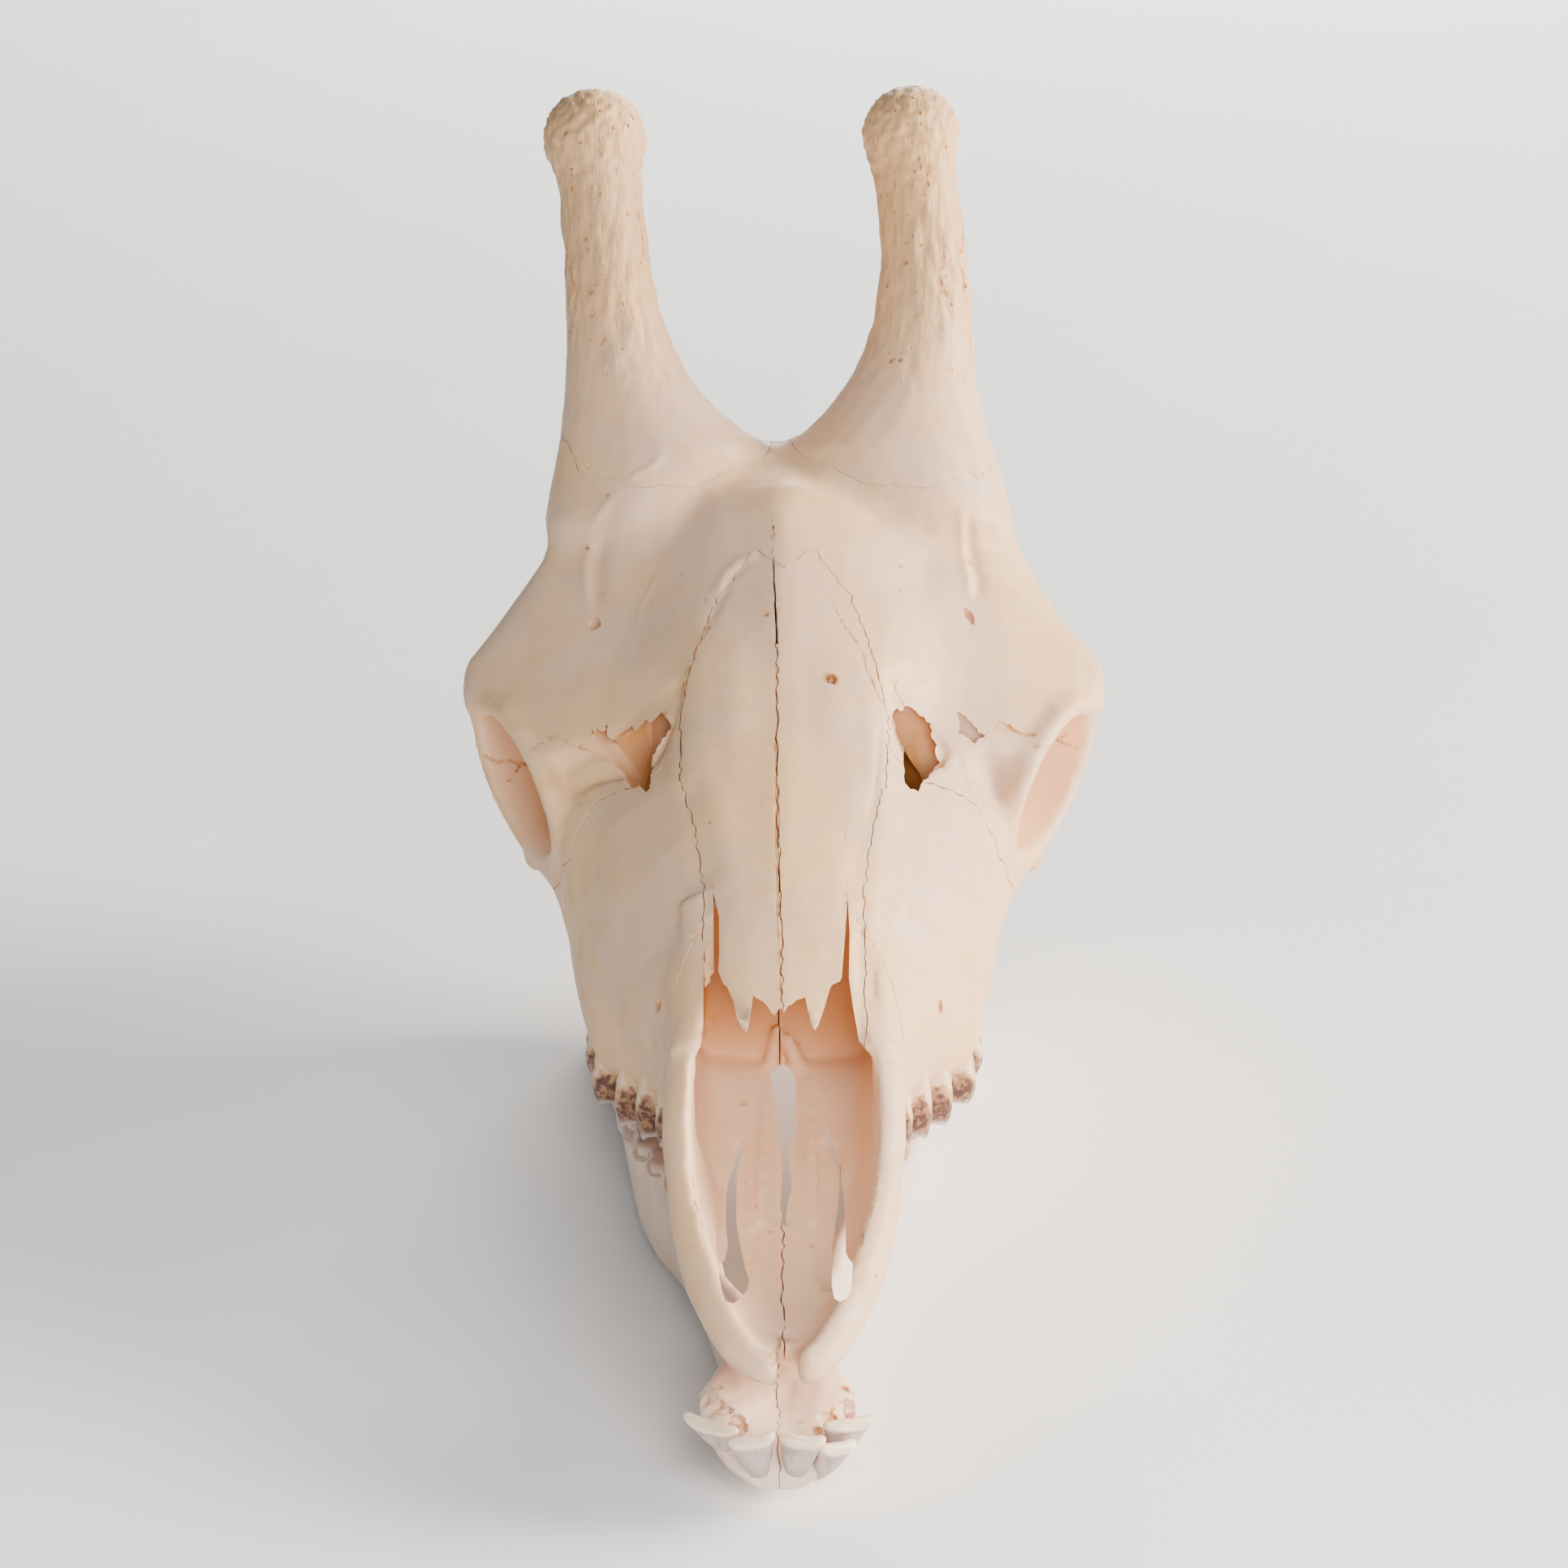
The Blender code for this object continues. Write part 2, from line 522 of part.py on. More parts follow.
def build_skull():
    """The upper skull as one solid, before it is parted into its bones."""
    masses, fine = [face_and_braincase(), frontal_shelf()], [neck_crest()]
    for side, sign in SIDES.items():
        block, rim = eye_region(sign)
        masses += horn_core(side, sign) + block
        fine += rim + cheek_arch(sign) + skull_base(sign)
    skull = grow_together(join_meshes("skull", masses), BLEND_VOXEL, BLEND_SMOOTH)
    skull = grow_together(join_meshes("skull", [skull] + fine), SKULL_VOXEL, 4)
    hollows = [open_nose(), roofed_nose(), nasal_notches()]
    hollows.append(tube("neck_canal", [(0, 560, 56), (0, 590, 52), (0, 625, 48)], [13, 15, 17]))
    for side, sign in SIDES.items():
        hollows += socket_hollow(sign)
        hollows.append(palate_slit(sign))
        hollows.append(prism("vacuity", VACUITY[side], 88, SKY))
    hollows.append(prism("middle_slit", [(-2, 112), (2, 112), (4, 150), (5.5, 200), (3, 214), (-3, 214),
                                         (-5.5, 200), (-4, 150)], -30, 30))
    hollows.append(prism("tip_gap", [(-3, -20), (6, -20), (5, 24), (1.5, 30), (-2, 24)], -40, 40))
    boolean(skull, hollows, "DIFFERENCE")
    return grow_together(skull, SKULL_VOXEL, 3)


# Lower jaw

def jaw_body(sign):
    """One half of the jaw from the chin to below the jaw muscle."""
    rings = []
    for y, (inner, outer, low, high, lean, pinch) in JAW_SECTIONS.items():
        middle, half = (inner + outer) / 2, (outer - inner) / 2
        drop = (high - low) / 2
        ring = []
        for k in range(16):
            turn = 2 * math.pi * k / 16
            c, t = math.cos(turn), math.sin(turn)
            side = math.copysign(abs(c) ** JAW_SQUARENESS, c)
            rise = math.copysign(abs(t) ** JAW_SQUARENESS, t)
            x = (middle + half * side) * (1 + pinch * min(rise, 0)) + lean * rise
            if inner == 0 and c < 0:
                x = -JAW_OVERLAP
            ring.append(Vector((x * sign, y, (low + high) / 2 + drop * rise)))
        rings.append(ring)
    return loft("jaw_body", rings)


def jaw_branch(sign):
    """The thin upright plate at the back with its joint head and muscle hook."""
    low = [Vector(((between(RAMUS_X, y) - RAMUS_THICK) * sign, y, z)) for y, z in RAMUS]
    high = [Vector(((between(RAMUS_X, y) + RAMUS_THICK) * sign, y, z)) for y, z in RAMUS]
    head = ellipsoid("joint_head", (80 * sign, 480, 43), (16, 9, 8.5))
    edge = tube("jaw_angle", [(72 * sign, 380, -93), (76 * sign, 425, -94), (78 * sign, 455, -78),
                              (79 * sign, 470, -40), (79 * sign, 480, 12), (79 * sign, 482, 40)],
                [7, 6.5, 6.5, 6, 6, 7])
    return [loft("jaw_plate", [low, high]), head, edge]


def build_jaw():
    """Both halves of the lower jaw as one solid, without teeth."""
    masses = []
    for sign in SIDES.values():
        masses += [jaw_body(sign), *jaw_branch(sign)]
    jaw = grow_together(join_meshes("jaw", masses), JAW_VOXEL, 5)
    hollows = []
    for sign in SIDES.values():
        hollows.append(ellipsoid("socket", (29 * sign, 20, -27), (6, 7, 7)))
        hollows.append(tube("chin_hole", [(20 * sign, 84, -44), (34 * sign, 76, -42)], [3.4, 3.8]))
    return boolean(jaw, hollows, "DIFFERENCE")


# Teeth

def cheek_tooth(place, sign, upper):
    """One cheek tooth with two cusped lobes, its root sunk in the bone."""
    x, y, level, height, length, width = place
    down = -1 if upper else 1
    outline = [(0.0, -0.5), (0.16, -0.27), (0.02, 0.0), (0.16, 0.27), (0.0, 0.5),
               (-0.55, 0.52), (-1.0, 0.28), (-0.84, 0.0), (-1.0, -0.28), (-0.55, -0.52)]
    rings = []
    for lift, grow in ((-9.0, 0.86), (height * 0.45, 0.97), (height, 0.9)):
        ring = []
        for a, b in outline:
            cusp = 1.5 if lift == height and abs(abs(b) - 0.27) < 0.02 else 0.0
            across = x + (a * width + 0.5 * width) * grow - 0.5 * width
            ring.append(Vector((across * sign, y + b * length * grow, level + down * (lift + cusp))))
        rings.append(ring)
    return loft("tooth", rings)


def front_tooth(edge, width, root, turn):
    """One spade-shaped front tooth leaning forward from its root."""
    edge, root = Vector(edge), Vector(root)
    along = (edge - root).normalized()
    wide = Matrix.Rotation(math.radians(turn), 3, "Z") @ Vector((1, 0, 0))
    wide = (wide - along * wide.dot(along)).normalized()
    thick = along.cross(wide)
    shape = ((0.0, 3.6, 4.0), (0.45, 4.4, 4.4), (0.75, 0.36 * width, 3.6), (1.0, 0.5 * width, 1.3))
    rings = []
    for share, half, depth in shape:
        middle = root.lerp(edge, share)
        ring = []
        for k in range(8):
            a = 2 * math.pi * (k + 0.5) / 8
            ring.append(middle + wide * half * math.cos(a) * 1.08 + thick * depth * math.sin(a) * 1.08)
        rings.append(ring)
    return loft("front_tooth", rings)


# Parting the bones along their seams

def offset_line(line, distance):
    """A line in the plane moved sideways by a distance."""
    points = [Vector(p) for p in line]
    moved = []
    for i, p in enumerate(points):
        along = (points[min(i + 1, len(points) - 1)] - points[max(i - 1, 0)]).normalized()
        moved.append(p + Vector((-along.y, along.x)) * distance)
    return moved


def sheet(line, low, high, axis):
    """A wall as thick as the seam gap, following a line and pushed along an axis."""
    one, two = offset_line(line, SUTURE / 2), offset_line(line, -SUTURE / 2)
    return prism("sheet", [tuple(p) for p in one + two[::-1]], low, high, axis)


def nasal_floor(y):
    """Height of the underside seam of the nasal bones."""
    for (y0, z0), (y1, z1) in zip(NASAL_FLOOR, NASAL_FLOOR[1:]):
        if y <= y1:
            return z0 + (z1 - z0) * (y - y0) / (y1 - y0)
    return NASAL_FLOOR[-1][1]


def nasal_wall(sign):
    """The wall along the side and round the back of one nasal bone, down to its underside."""
    line = [(x * sign, y) for x, y in NASAL_EDGE]
    line[-1] = (-0.5 * sign, line[-1][1])
    outline = offset_line(line, SUTURE / 2) + offset_line(line, -SUTURE / 2)[::-1]
    low = [Vector((p.x, p.y, nasal_floor(p.y) - 2)) for p in outline]
    return loft("sheet", [low, [Vector((p.x, p.y, SKY)) for p in outline]])


def middle_wall():
    """The wall along the middle from the tip of the upper jaw to the back of the nasal bones."""
    half = SUTURE / 2
    outline = [(-40, -60), (333, -60), (333, 124), (345, 138), (364, 150), (364, SKY), (-40, SKY)]
    return prism("sheet", outline, -half, half, "X")


def horn_cup(side, sign):
    """The cup-shaped wall under one ossicone, open above."""
    axis = (HORN_KNOB - HORN_ROOT).normalized()
    across = axis.cross(Vector((1, 0, 0))).normalized()
    deep_x, top_x = HORN_CUP_X[side]
    wide, deep = HORN_CUP_SIZE

    def ring(height, share, grow):
        middle = HORN_ROOT + axis * (height - grow * 0.7)
        middle.x = deep_x + (top_x - deep_x) * min(1.0, share * 1.05)
        turns = [2 * math.pi * k / 20 for k in range(20)]
        return [middle + Vector((1, 0, 0)) * (wide * share + grow) * math.cos(a)
                + across * (deep * share + grow) * math.sin(a) for a in turns]

    outer = [ring(h, share, SUTURE / 2) for h, share in HORN_CUP]
    inner = [ring(h, share, -SUTURE / 2) for h, share in HORN_CUP]
    return loft("cup", outer + inner[::-1])


def seam_walls():
    """Every wall that parts the upper skull."""
    walls = [middle_wall(), sheet(NASAL_FLOOR[1:], -45, 45, "X")]
    walls.append(sheet([(PALATE_SEAM_Y, -40), (PALATE_SEAM_Y, 66)], -46, 46, "X"))
    walls.append(sheet([(TIP_ROD_SEAM_Y, -40), (TIP_ROD_SEAM_Y, 30)], -17, 17, "X"))
    for side, sign in SIDES.items():
        walls.append(nasal_wall(sign))
        walls.append(horn_cup(side, sign))
        walls.append(sheet(FACE_SEAM, *sorted((43.2 * sign, 140 * sign)), "X"))
        walls.append(sheet([(44.5 * sign, 298), (44.5 * sign, 334)], 24, 116, "Z"))
        walls.append(sheet(TIP_SEAM_LOW, *sorted((21 * sign, 90 * sign)), "X"))
        walls.append(sheet(TIP_SEAM_HIGH, *sorted((34.5 * sign, 90 * sign)), "X"))
    return walls


def tidy(bm):
    """Welds points that fell together and makes all faces triangles."""
    bmesh.ops.remove_doubles(bm, verts=bm.verts, dist=LEAST_GAP)
    bmesh.ops.dissolve_degenerate(bm, edges=bm.edges, dist=LEAST_GAP)
    bmesh.ops.triangulate(bm, faces=bm.faces)


def closed_parts(made):
    """The separate closed surfaces of a mesh, as lists of vertices."""
    bm = bmesh.new()
    bm.from_mesh(made.data)
    tidy(bm)
    bm.verts.index_update()
    left = set(bm.verts)
    parts = []
    while left:
        part, edge = set(), [left.pop()]
        while edge:
            vert = edge.pop()
            part.add(vert)
            for line in vert.link_edges:
                other = line.other_vert(vert)
                if other in left:
                    left.discard(other)
                    edge.append(other)
        parts.append(part)
    return bm, parts


def part_bones(solid, places):
    """Splits a cut solid into named objects, each the closed surface nearest its place."""
    bm, parts = closed_parts(solid)
    for name, place in places.items():
        target = Vector(place) * MM
        nearest = min(parts, key=lambda part: min((v.co - target).length_squared for v in part))
        keep = {v.index for v in nearest}
        copy = bm.copy()
        bmesh.ops.delete(copy, geom=[v for v in copy.verts if v.index not in keep], context="VERTS")
        mesh = bpy.data.meshes.new(name)
        copy.to_mesh(mesh)
        copy.free()
        bpy.context.scene.collection.objects.link(bpy.data.objects.new(name, mesh))
    bm.free()
    remove([solid])


def keep_largest(made):
    """Keeps only the largest closed surface of an object."""
    bm, parts = closed_parts(made)
    largest = max(parts, key=len)
    bmesh.ops.delete(bm, geom=[v for v in bm.verts if v not in largest], context="VERTS")
    bm.to_mesh(made.data)
    bm.free()


def add_teeth(upper_jaw, lower_jaw):
    """Sinks the teeth into the bones they grow from."""
    for side, sign in SIDES.items():
        uppers = [cheek_tooth(place, sign, True) for place in UPPER_TEETH.values()]
        boolean(upper_jaw[side], uppers, "UNION")
        lowers = [cheek_tooth(place, sign, False) for place in LOWER_TEETH.values()]
        lowers += [front_tooth(*place) for name, place in FRONT_TEETH.items() if name.startswith(side)]
        boolean(lower_jaw[side], lowers, "UNION")


def set_jaw(made):
    """Moves a half of the jaw to where it lies and cuts the small flats it rests on."""
    made.data.transform(Matrix.Translation((JAW_SHIFT * MM, 0, 0)) @ Matrix.Rotation(JAW_YAW, 4, "Z"))
    (y0, z0), (y1, z1) = REST_LINE
    slope = (z1 - z0) / (y1 - y0)
    line = [(y, z0 + (y - y0) * slope) for y in (-100, 700)]
    floor = prism("floor", [*line, (700, -200), (-100, -200)], -130, 130, "X")
    boolean(made, [floor], "DIFFERENCE")


def finish(made):
    """Gives a bone its colour."""
    colour, roughness = FINISHES[made.name.split("_")[0]]
    look = bpy.data.materials.new(made.name)
    look.use_nodes = True
    shader = look.node_tree.nodes["Principled BSDF"]
    shader.inputs["Base Color"].default_value = (*colour, 1.0)
    shader.inputs["Roughness"].default_value = roughness
    shader.inputs["Metallic"].default_value = 0.0
    look.diffuse_color = (*colour, 1.0)
    made.data.materials.append(look)


def lay_down(bones):
    """Turns the skull until the jaw lies flat on the floor, centred over the origin."""
    rest = bpy.data.objects.new("rest_pose", None)
    bpy.context.scene.collection.objects.link(rest)
    turn = Matrix.Rotation(REST_TILT, 3, "X")
    spots = [turn @ v.co for bone in bones for v in bone.data.vertices]
    low = Vector([min(p[i] for p in spots) for i in range(3)])
    high = Vector([max(p[i] for p in spots) for i in range(3)])
    rest.rotation_euler = (REST_TILT, 0, 0)
    rest.location = (-(low.x + high.x) / 2, -(low.y + high.y) / 2, -low.z)
    for bone in bones:
        bone.parent = rest


def build():
    """Builds every bone of the skull."""
    for made in list(bpy.data.objects):
        bpy.data.objects.remove(made)
    skull = thin_out(build_skull(), SKULL_TRIANGLES)
    boolean(skull, seam_walls(), "DIFFERENCE")
    part_bones(skull, BONES)
    jaw = thin_out(build_jaw(), JAW_TRIANGLES)
    half = SUTURE / 2
    middle = prism("sheet", [(-60, -120), (200, -120), (200, 0), (-60, 0)], -half, half, "X")
    boolean(jaw, [middle], "DIFFERENCE")
    part_bones(jaw, JAW_HALVES)
    made = bpy.data.objects
    upper_jaw = {side: made["maxilla_" + side] for side in SIDES}
    lower_jaw = {side: made["mandible_" + side] for side in SIDES}
    add_teeth(upper_jaw, lower_jaw)
    for name in JAW_HALVES:
        set_jaw(made[name])
    bones = [made[name] for name in (*BONES, *JAW_HALVES)]
    for bone in bones:
        keep_largest(bone)
        finish(bone)
    lay_down(bones)


build()
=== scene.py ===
"""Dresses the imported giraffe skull: fine bone, open sutures, cracks, worn teeth and soft studio light.

Shapes are worked out in the skull's own frame, in millimetres: x to the animal's left, y back from the tip
of the upper jaw, z up from the level of the upper tooth sockets. RestPose then lays them on the floor.
"""

import json
import logging
import math
import random
from collections.abc import Callable, Iterable, Sequence
from dataclasses import dataclass, field
from enum import Enum

import bmesh
import bpy
import numpy as np
from mathutils import Matrix, Vector, noise
from mathutils.bvhtree import BVHTree
from mathutils.kdtree import KDTree

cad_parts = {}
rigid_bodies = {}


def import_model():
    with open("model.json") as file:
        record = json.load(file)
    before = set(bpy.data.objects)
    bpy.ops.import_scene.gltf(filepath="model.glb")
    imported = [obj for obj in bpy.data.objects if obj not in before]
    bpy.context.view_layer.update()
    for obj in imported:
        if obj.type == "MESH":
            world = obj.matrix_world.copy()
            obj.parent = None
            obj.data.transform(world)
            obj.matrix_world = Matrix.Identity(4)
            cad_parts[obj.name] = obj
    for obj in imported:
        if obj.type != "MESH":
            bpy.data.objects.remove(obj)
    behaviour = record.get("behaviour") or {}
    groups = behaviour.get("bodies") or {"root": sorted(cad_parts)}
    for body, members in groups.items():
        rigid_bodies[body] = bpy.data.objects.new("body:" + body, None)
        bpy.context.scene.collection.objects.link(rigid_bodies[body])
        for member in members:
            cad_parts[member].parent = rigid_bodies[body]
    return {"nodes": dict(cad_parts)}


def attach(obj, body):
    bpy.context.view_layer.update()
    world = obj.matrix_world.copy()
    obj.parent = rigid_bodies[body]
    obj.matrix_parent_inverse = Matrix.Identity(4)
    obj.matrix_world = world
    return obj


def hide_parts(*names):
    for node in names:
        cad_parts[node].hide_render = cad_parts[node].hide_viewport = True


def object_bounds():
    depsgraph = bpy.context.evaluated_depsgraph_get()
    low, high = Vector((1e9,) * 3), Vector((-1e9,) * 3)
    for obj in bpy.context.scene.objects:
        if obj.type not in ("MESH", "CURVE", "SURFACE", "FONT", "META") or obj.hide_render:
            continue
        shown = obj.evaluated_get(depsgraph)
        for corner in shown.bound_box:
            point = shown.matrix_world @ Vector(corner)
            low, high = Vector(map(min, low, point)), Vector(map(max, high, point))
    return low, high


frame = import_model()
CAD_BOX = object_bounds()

MM = 0.001
LOG = logging.getLogger("giraffe_skull")

Point = tuple[float, float, float]
Pixel = tuple[float, float]
Surface = Callable[[float, float], float]


class Side(Enum):
    """The two sides of the animal, by the sign of x."""

    RIGHT = -1
    LEFT = 1

    @property
    def word(self) -> str:
        """The side's name as node names hold it."""
        return self.name.lower()


class Axis(Enum):
    """The direction in which an outline is pushed."""

    X = "x"
    Y = "y"
    Z = "z"

    def place(self, a: float, b: float, c: float) -> Vector:
        """Turns outline numbers a and b and a push c into a point."""
        return Vector({"x": (c, a, b), "y": (a, c, b), "z": (a, b, c)}[self.value])


@dataclass(frozen=True)
class RestPose:
    """How the skull lies: turned nose down about x until its jaw is flat on the floor."""

    tilt: float = math.radians(4.681)
    shift: Point = (0.25, -295.72, 65.88)

    def matrix(self) -> Matrix:
        """From the skull's own millimetres to the floor's metres."""
        return Matrix.Scale(MM, 4) @ Matrix.Translation(self.shift) @ Matrix.Rotation(self.tilt, 4, "X")


REST = RestPose()


@dataclass(frozen=True)
class PhotoCamera:
    """The camera that took the photograph, looking down the face."""

    elevation: float = math.radians(26.0)
    focal: float = 5600.0
    picture: float = 1932.0
    distance: float = 2000.0
    aim: Point = (0.0, 341.575, 82.626)
    sensor: float = 36.0

    def turn(self) -> Matrix:
        """The camera's right, up and back directions as the columns of a turn."""
        s, c = math.sin(self.elevation), math.cos(self.elevation)
        return Matrix(((1.0, 0.0, 0.0), (0.0, s, -c), (0.0, c, s)))

    def place(self) -> Vector:
        """The camera's place in the skull's frame."""
        return Vector(self.aim) + self.turn().col[2] * self.distance

    def sight(self, pixel: Pixel) -> Vector:
        """The direction from the camera through a pixel of the photograph.

        Args:
            pixel: Column and row, counted from the top left.

        Returns:
            A unit direction in the skull's frame.
        """
        half = self.picture / 2
        ahead = Vector(((pixel[0] - half) / self.focal, (half - pixel[1]) / self.focal, -1.0))
        return (self.turn() @ ahead).normalized()

    def depth(self, point: Sequence[float]) -> float:
        """How far a point lies in front of the camera's plane."""
        return (Vector(point) - self.place()).dot(-self.turn().col[2])

    def spot(self, pixel: Pixel, depth: float) -> Vector:
        """The point seen at a pixel, at a depth in front of the camera's plane.

        Args:
            pixel: Column and row of the photograph.
            depth: The depth.

        Returns:
            The point in the skull's frame.
        """
        sight = self.sight(pixel)
        return self.place() + sight * (depth / sight.dot(-self.turn().col[2]))

    def on_level(self, pixel: Pixel, level: float) -> Vector:
        """The point seen at a pixel whose height in the skull's frame is known."""
        place, sight = self.place(), self.sight(pixel)
        return place + sight * ((level - place.z) / sight.z)

    def make(self) -> bpy.types.Object:
        """Creates the camera and makes it the scene's own.

        Returns:
            The camera object.
        """
        data = bpy.data.cameras.new("photo_camera")
        data.sensor_width = self.sensor
        data.lens = self.sensor * self.focal / self.picture
        data.clip_end = 50.0
        made = bpy.data.objects.new("photo_camera", data)
        bpy.context.scene.collection.objects.link(made)
        pose = REST.matrix()
        turn = Matrix.Rotation(REST.tilt, 3, "X") @ self.turn()
        made.matrix_world = Matrix.Translation(pose @ self.place()) @ turn.to_4x4()
        bpy.context.scene.camera = made
        return made


CAMERA = PhotoCamera()


# Making and joining meshes


def as_object(name: str, bm: bmesh.types.BMesh) -> bpy.types.Object:
    """Puts a bmesh into a new object and frees it.

    Args:
        name: Name of the object and its mesh.
        bm: The shape, closed, in any turning order.

    Returns:
        The linked object, its faces outwards.
    """
    bmesh.ops.recalc_face_normals(bm, faces=bm.faces)
    mesh = bpy.data.meshes.new(name)
    bm.to_mesh(mesh)
    bm.free()
    made = bpy.data.objects.new(name, mesh)
    bpy.context.scene.collection.objects.link(made)
    return made


def bake(made: bpy.types.Object) -> bpy.types.Object:
    """Applies an object's modifiers to its mesh.

    Args:
        made: The object.

    Returns:
        The same object.
    """
    graph = bpy.context.evaluated_depsgraph_get()
    mesh = bpy.data.meshes.new_from_object(made.evaluated_get(graph))
    made.modifiers.clear()
    old = made.data
    made.data = mesh
    bpy.data.meshes.remove(old)
    return made


def cut_away(made: bpy.types.Object, tools: Sequence[bpy.types.Object]) -> None:
    """Cuts closed tools out of a solid and removes them.

    Args:
        made: The solid.
        tools: The cutters.
    """
    group = bpy.data.collections.new(made.name + "_tools")
    for tool in tools:
        group.objects.link(tool)
    step = made.modifiers.new("cut", "BOOLEAN")
    step.operation = "DIFFERENCE"
    step.solver = "MANIFOLD"
    step.operand_type = "COLLECTION"
    step.collection = group
    bake(made)
    for tool in tools:
        bpy.data.objects.remove(tool)
    bpy.data.collections.remove(group)


def only(kind: type, items: Iterable[object]) -> list:
    """The items of one kind, as an extrusion returns points, edges and faces together."""
    return [item for item in items if isinstance(item, kind)]


def pushed(outline: Sequence[Vector]) -> tuple[bmesh.types.BMesh, list[bmesh.types.BMVert]]:
    """A face with a second one on its back, ready to be moved apart.

    Args:
        outline: Corners of the face.

    Returns:
        The mesh and the points that are to be moved.
    """
    bm = bmesh.new()
    base = bm.faces.new([bm.verts.new(place) for place in outline])
    return bm, only(bmesh.types.BMVert, bmesh.ops.extrude_face_region(bm, geom=[base])["geom"])


def saw_off(bm: bmesh.types.BMesh, geometry: list, place: Point, way: Point) -> None:
    """Cuts off what lies beyond a plane and closes the cut.

    Args:
        bm: The mesh.
        geometry: Its points, edges and faces that may be cut.
        place: A place on the plane.
        way: Direction in which all is cut off.
    """
    cut = bmesh.ops.bisect_plane(bm, geom=geometry, dist=1e-5, plane_co=place, plane_no=way, clear_outer=True)
    bmesh.ops.holes_fill(bm, edges=only(bmesh.types.BMEdge, cut["geom_cut"]))


def read_points(mesh: bpy.types.Mesh) -> np.ndarray:
    """The places of a mesh's points, one row for each."""
    flat = np.empty(len(mesh.vertices) * 3, dtype=np.float32)
    mesh.vertices.foreach_get("co", flat)
    return flat.reshape(-1, 3)


def prism(name: str, outline: Iterable[Pixel], low: float, high: float, axis: Axis) -> bpy.types.Object:
    """An outline pushed straight along an axis into a closed solid.

    Args:
        name: Name of the object.
        outline: Closed outline in the two other axes, in order.
        low: Start of the push.
        high: End of the push.
        axis: Direction of the push.

    Returns:
        The solid.
    """
    bm, verts = pushed([axis.place(a, b, low) for a, b in outline])
    bmesh.ops.translate(bm, vec=axis.place(0, 0, high - low), verts=verts)
    return as_object(name, bm)


def sight_prism(name: str, pixels: Iterable[Pixel], near: float, far: float) -> bpy.types.Object:
    """An outline drawn on the photograph, pushed away from the camera into a closed solid.

    Args:
        name: Name of the object.
        pixels: Closed outline, as columns and rows.
        near: Depth at which it starts.
        far: Depth at which it ends.

    Returns:
        The solid.
    """
    bm, verts = pushed([CAMERA.spot(pixel, near) for pixel in pixels])
    bmesh.ops.scale(bm, vec=Vector((1, 1, 1)) * (far / near), space=Matrix.Translation(-CAMERA.place()), verts=verts)
    return as_object(name, bm)


def tube(name: str, path: Sequence[Vector], radii: Sequence[float]) -> bpy.types.Object:
    """A round rod of changing thickness along a path.

    Args:
        name: Name of the object.
        path: Points along its middle.
        radii: Its radius at each point.

    Returns:
        The closed solid.
    """
    curve = bpy.data.curves.new(name, "CURVE")
    curve.dimensions = "3D"
    curve.bevel_depth = 1.0
    curve.bevel_resolution = 2
    curve.use_fill_caps = True
    line = curve.splines.new("POLY")
    line.points.add(len(path) - 1)
    for point, place, radius in zip(line.points, path, radii):
        point.co = (*place, 1.0)
        point.radius = radius
    holder = bpy.data.objects.new(name, curve)
    mesh = bpy.data.meshes.new_from_object(holder)
    bpy.data.objects.remove(holder)
    bpy.data.curves.remove(curve)
    bm = bmesh.new()
    bm.from_mesh(mesh)
    bpy.data.meshes.remove(mesh)
    bmesh.ops.remove_doubles(bm, verts=bm.verts, dist=1e-4)
    return as_object(name, bm)


# What a point of a tooth keeps: how far up the crown it lies and how near to a worn edge
TOOTH_MARKS = ("rise", "edge")


def marked_mesh() -> bmesh.types.BMesh:
    """An empty mesh whose points can keep the tooth marks."""
    bm = bmesh.new()
    for name in TOOTH_MARKS:
        bm.verts.layers.float.new(name)
    return bm


def loft(bm: bmesh.types.BMesh, rings: Sequence[Sequence[Vector]], marks: Sequence[Sequence[float]]) -> None:
    """Adds a closed body through rings of equally many points, capped at both ends.

    Args:
        bm: Mesh that takes the body, as marked_mesh makes it.
        rings: The rings, from one end to the other.
        marks: For each ring the two numbers kept on its points.
    """
    layers = [bm.verts.layers.float[name] for name in TOOTH_MARKS]
    last = [bm.verts.new(place) for place in rings[0]]
    bm.faces.new(last)
    edges = [bm.edges.get(pair) for pair in zip(last, last[1:] + last[:1])]
    for vert in last:
        for layer, value in zip(layers, marks[0]):
            vert[layer] = value
    for ring, values in zip(rings[1:], marks[1:]):
        number = {vert: i for i, vert in enumerate(last)}
        fresh = bmesh.ops.extrude_edge_only(bm, edges=edges)["geom"]
        edges = only(bmesh.types.BMEdge, fresh)
        for vert in only(bmesh.types.BMVert, fresh):
            below = next(line.other_vert(vert) for line in vert.link_edges if line.other_vert(vert) in number)
            last[number[below]] = vert
        for vert, place in zip(last, ring):
            vert.co = place
            for layer, value in zip(layers, values):
                vert[layer] = value
    bm.faces.new(last)


def round_off(corners: Sequence[Pixel], steps: int) -> list[Pixel]:
    """A closed smooth line through corners.

    Args:
        corners: The corners in order.
        steps: Points for each stretch between two corners.

    Returns:
        The line's points.
    """
    count = len(corners)
    run = []
    for i in range(count):
        a, b, c, d = (Vector(corners[(i + k) % count]) for k in (-1, 0, 1, 2))
        for k in range(steps):
            t = k / steps
            run.append(tuple(0.5 * (2 * b + (c - a) * t + (2 * a - 5 * b + 4 * c - d) * t * t
                                    + (3 * b - a - 3 * c + d) * t ** 3)))
    return run


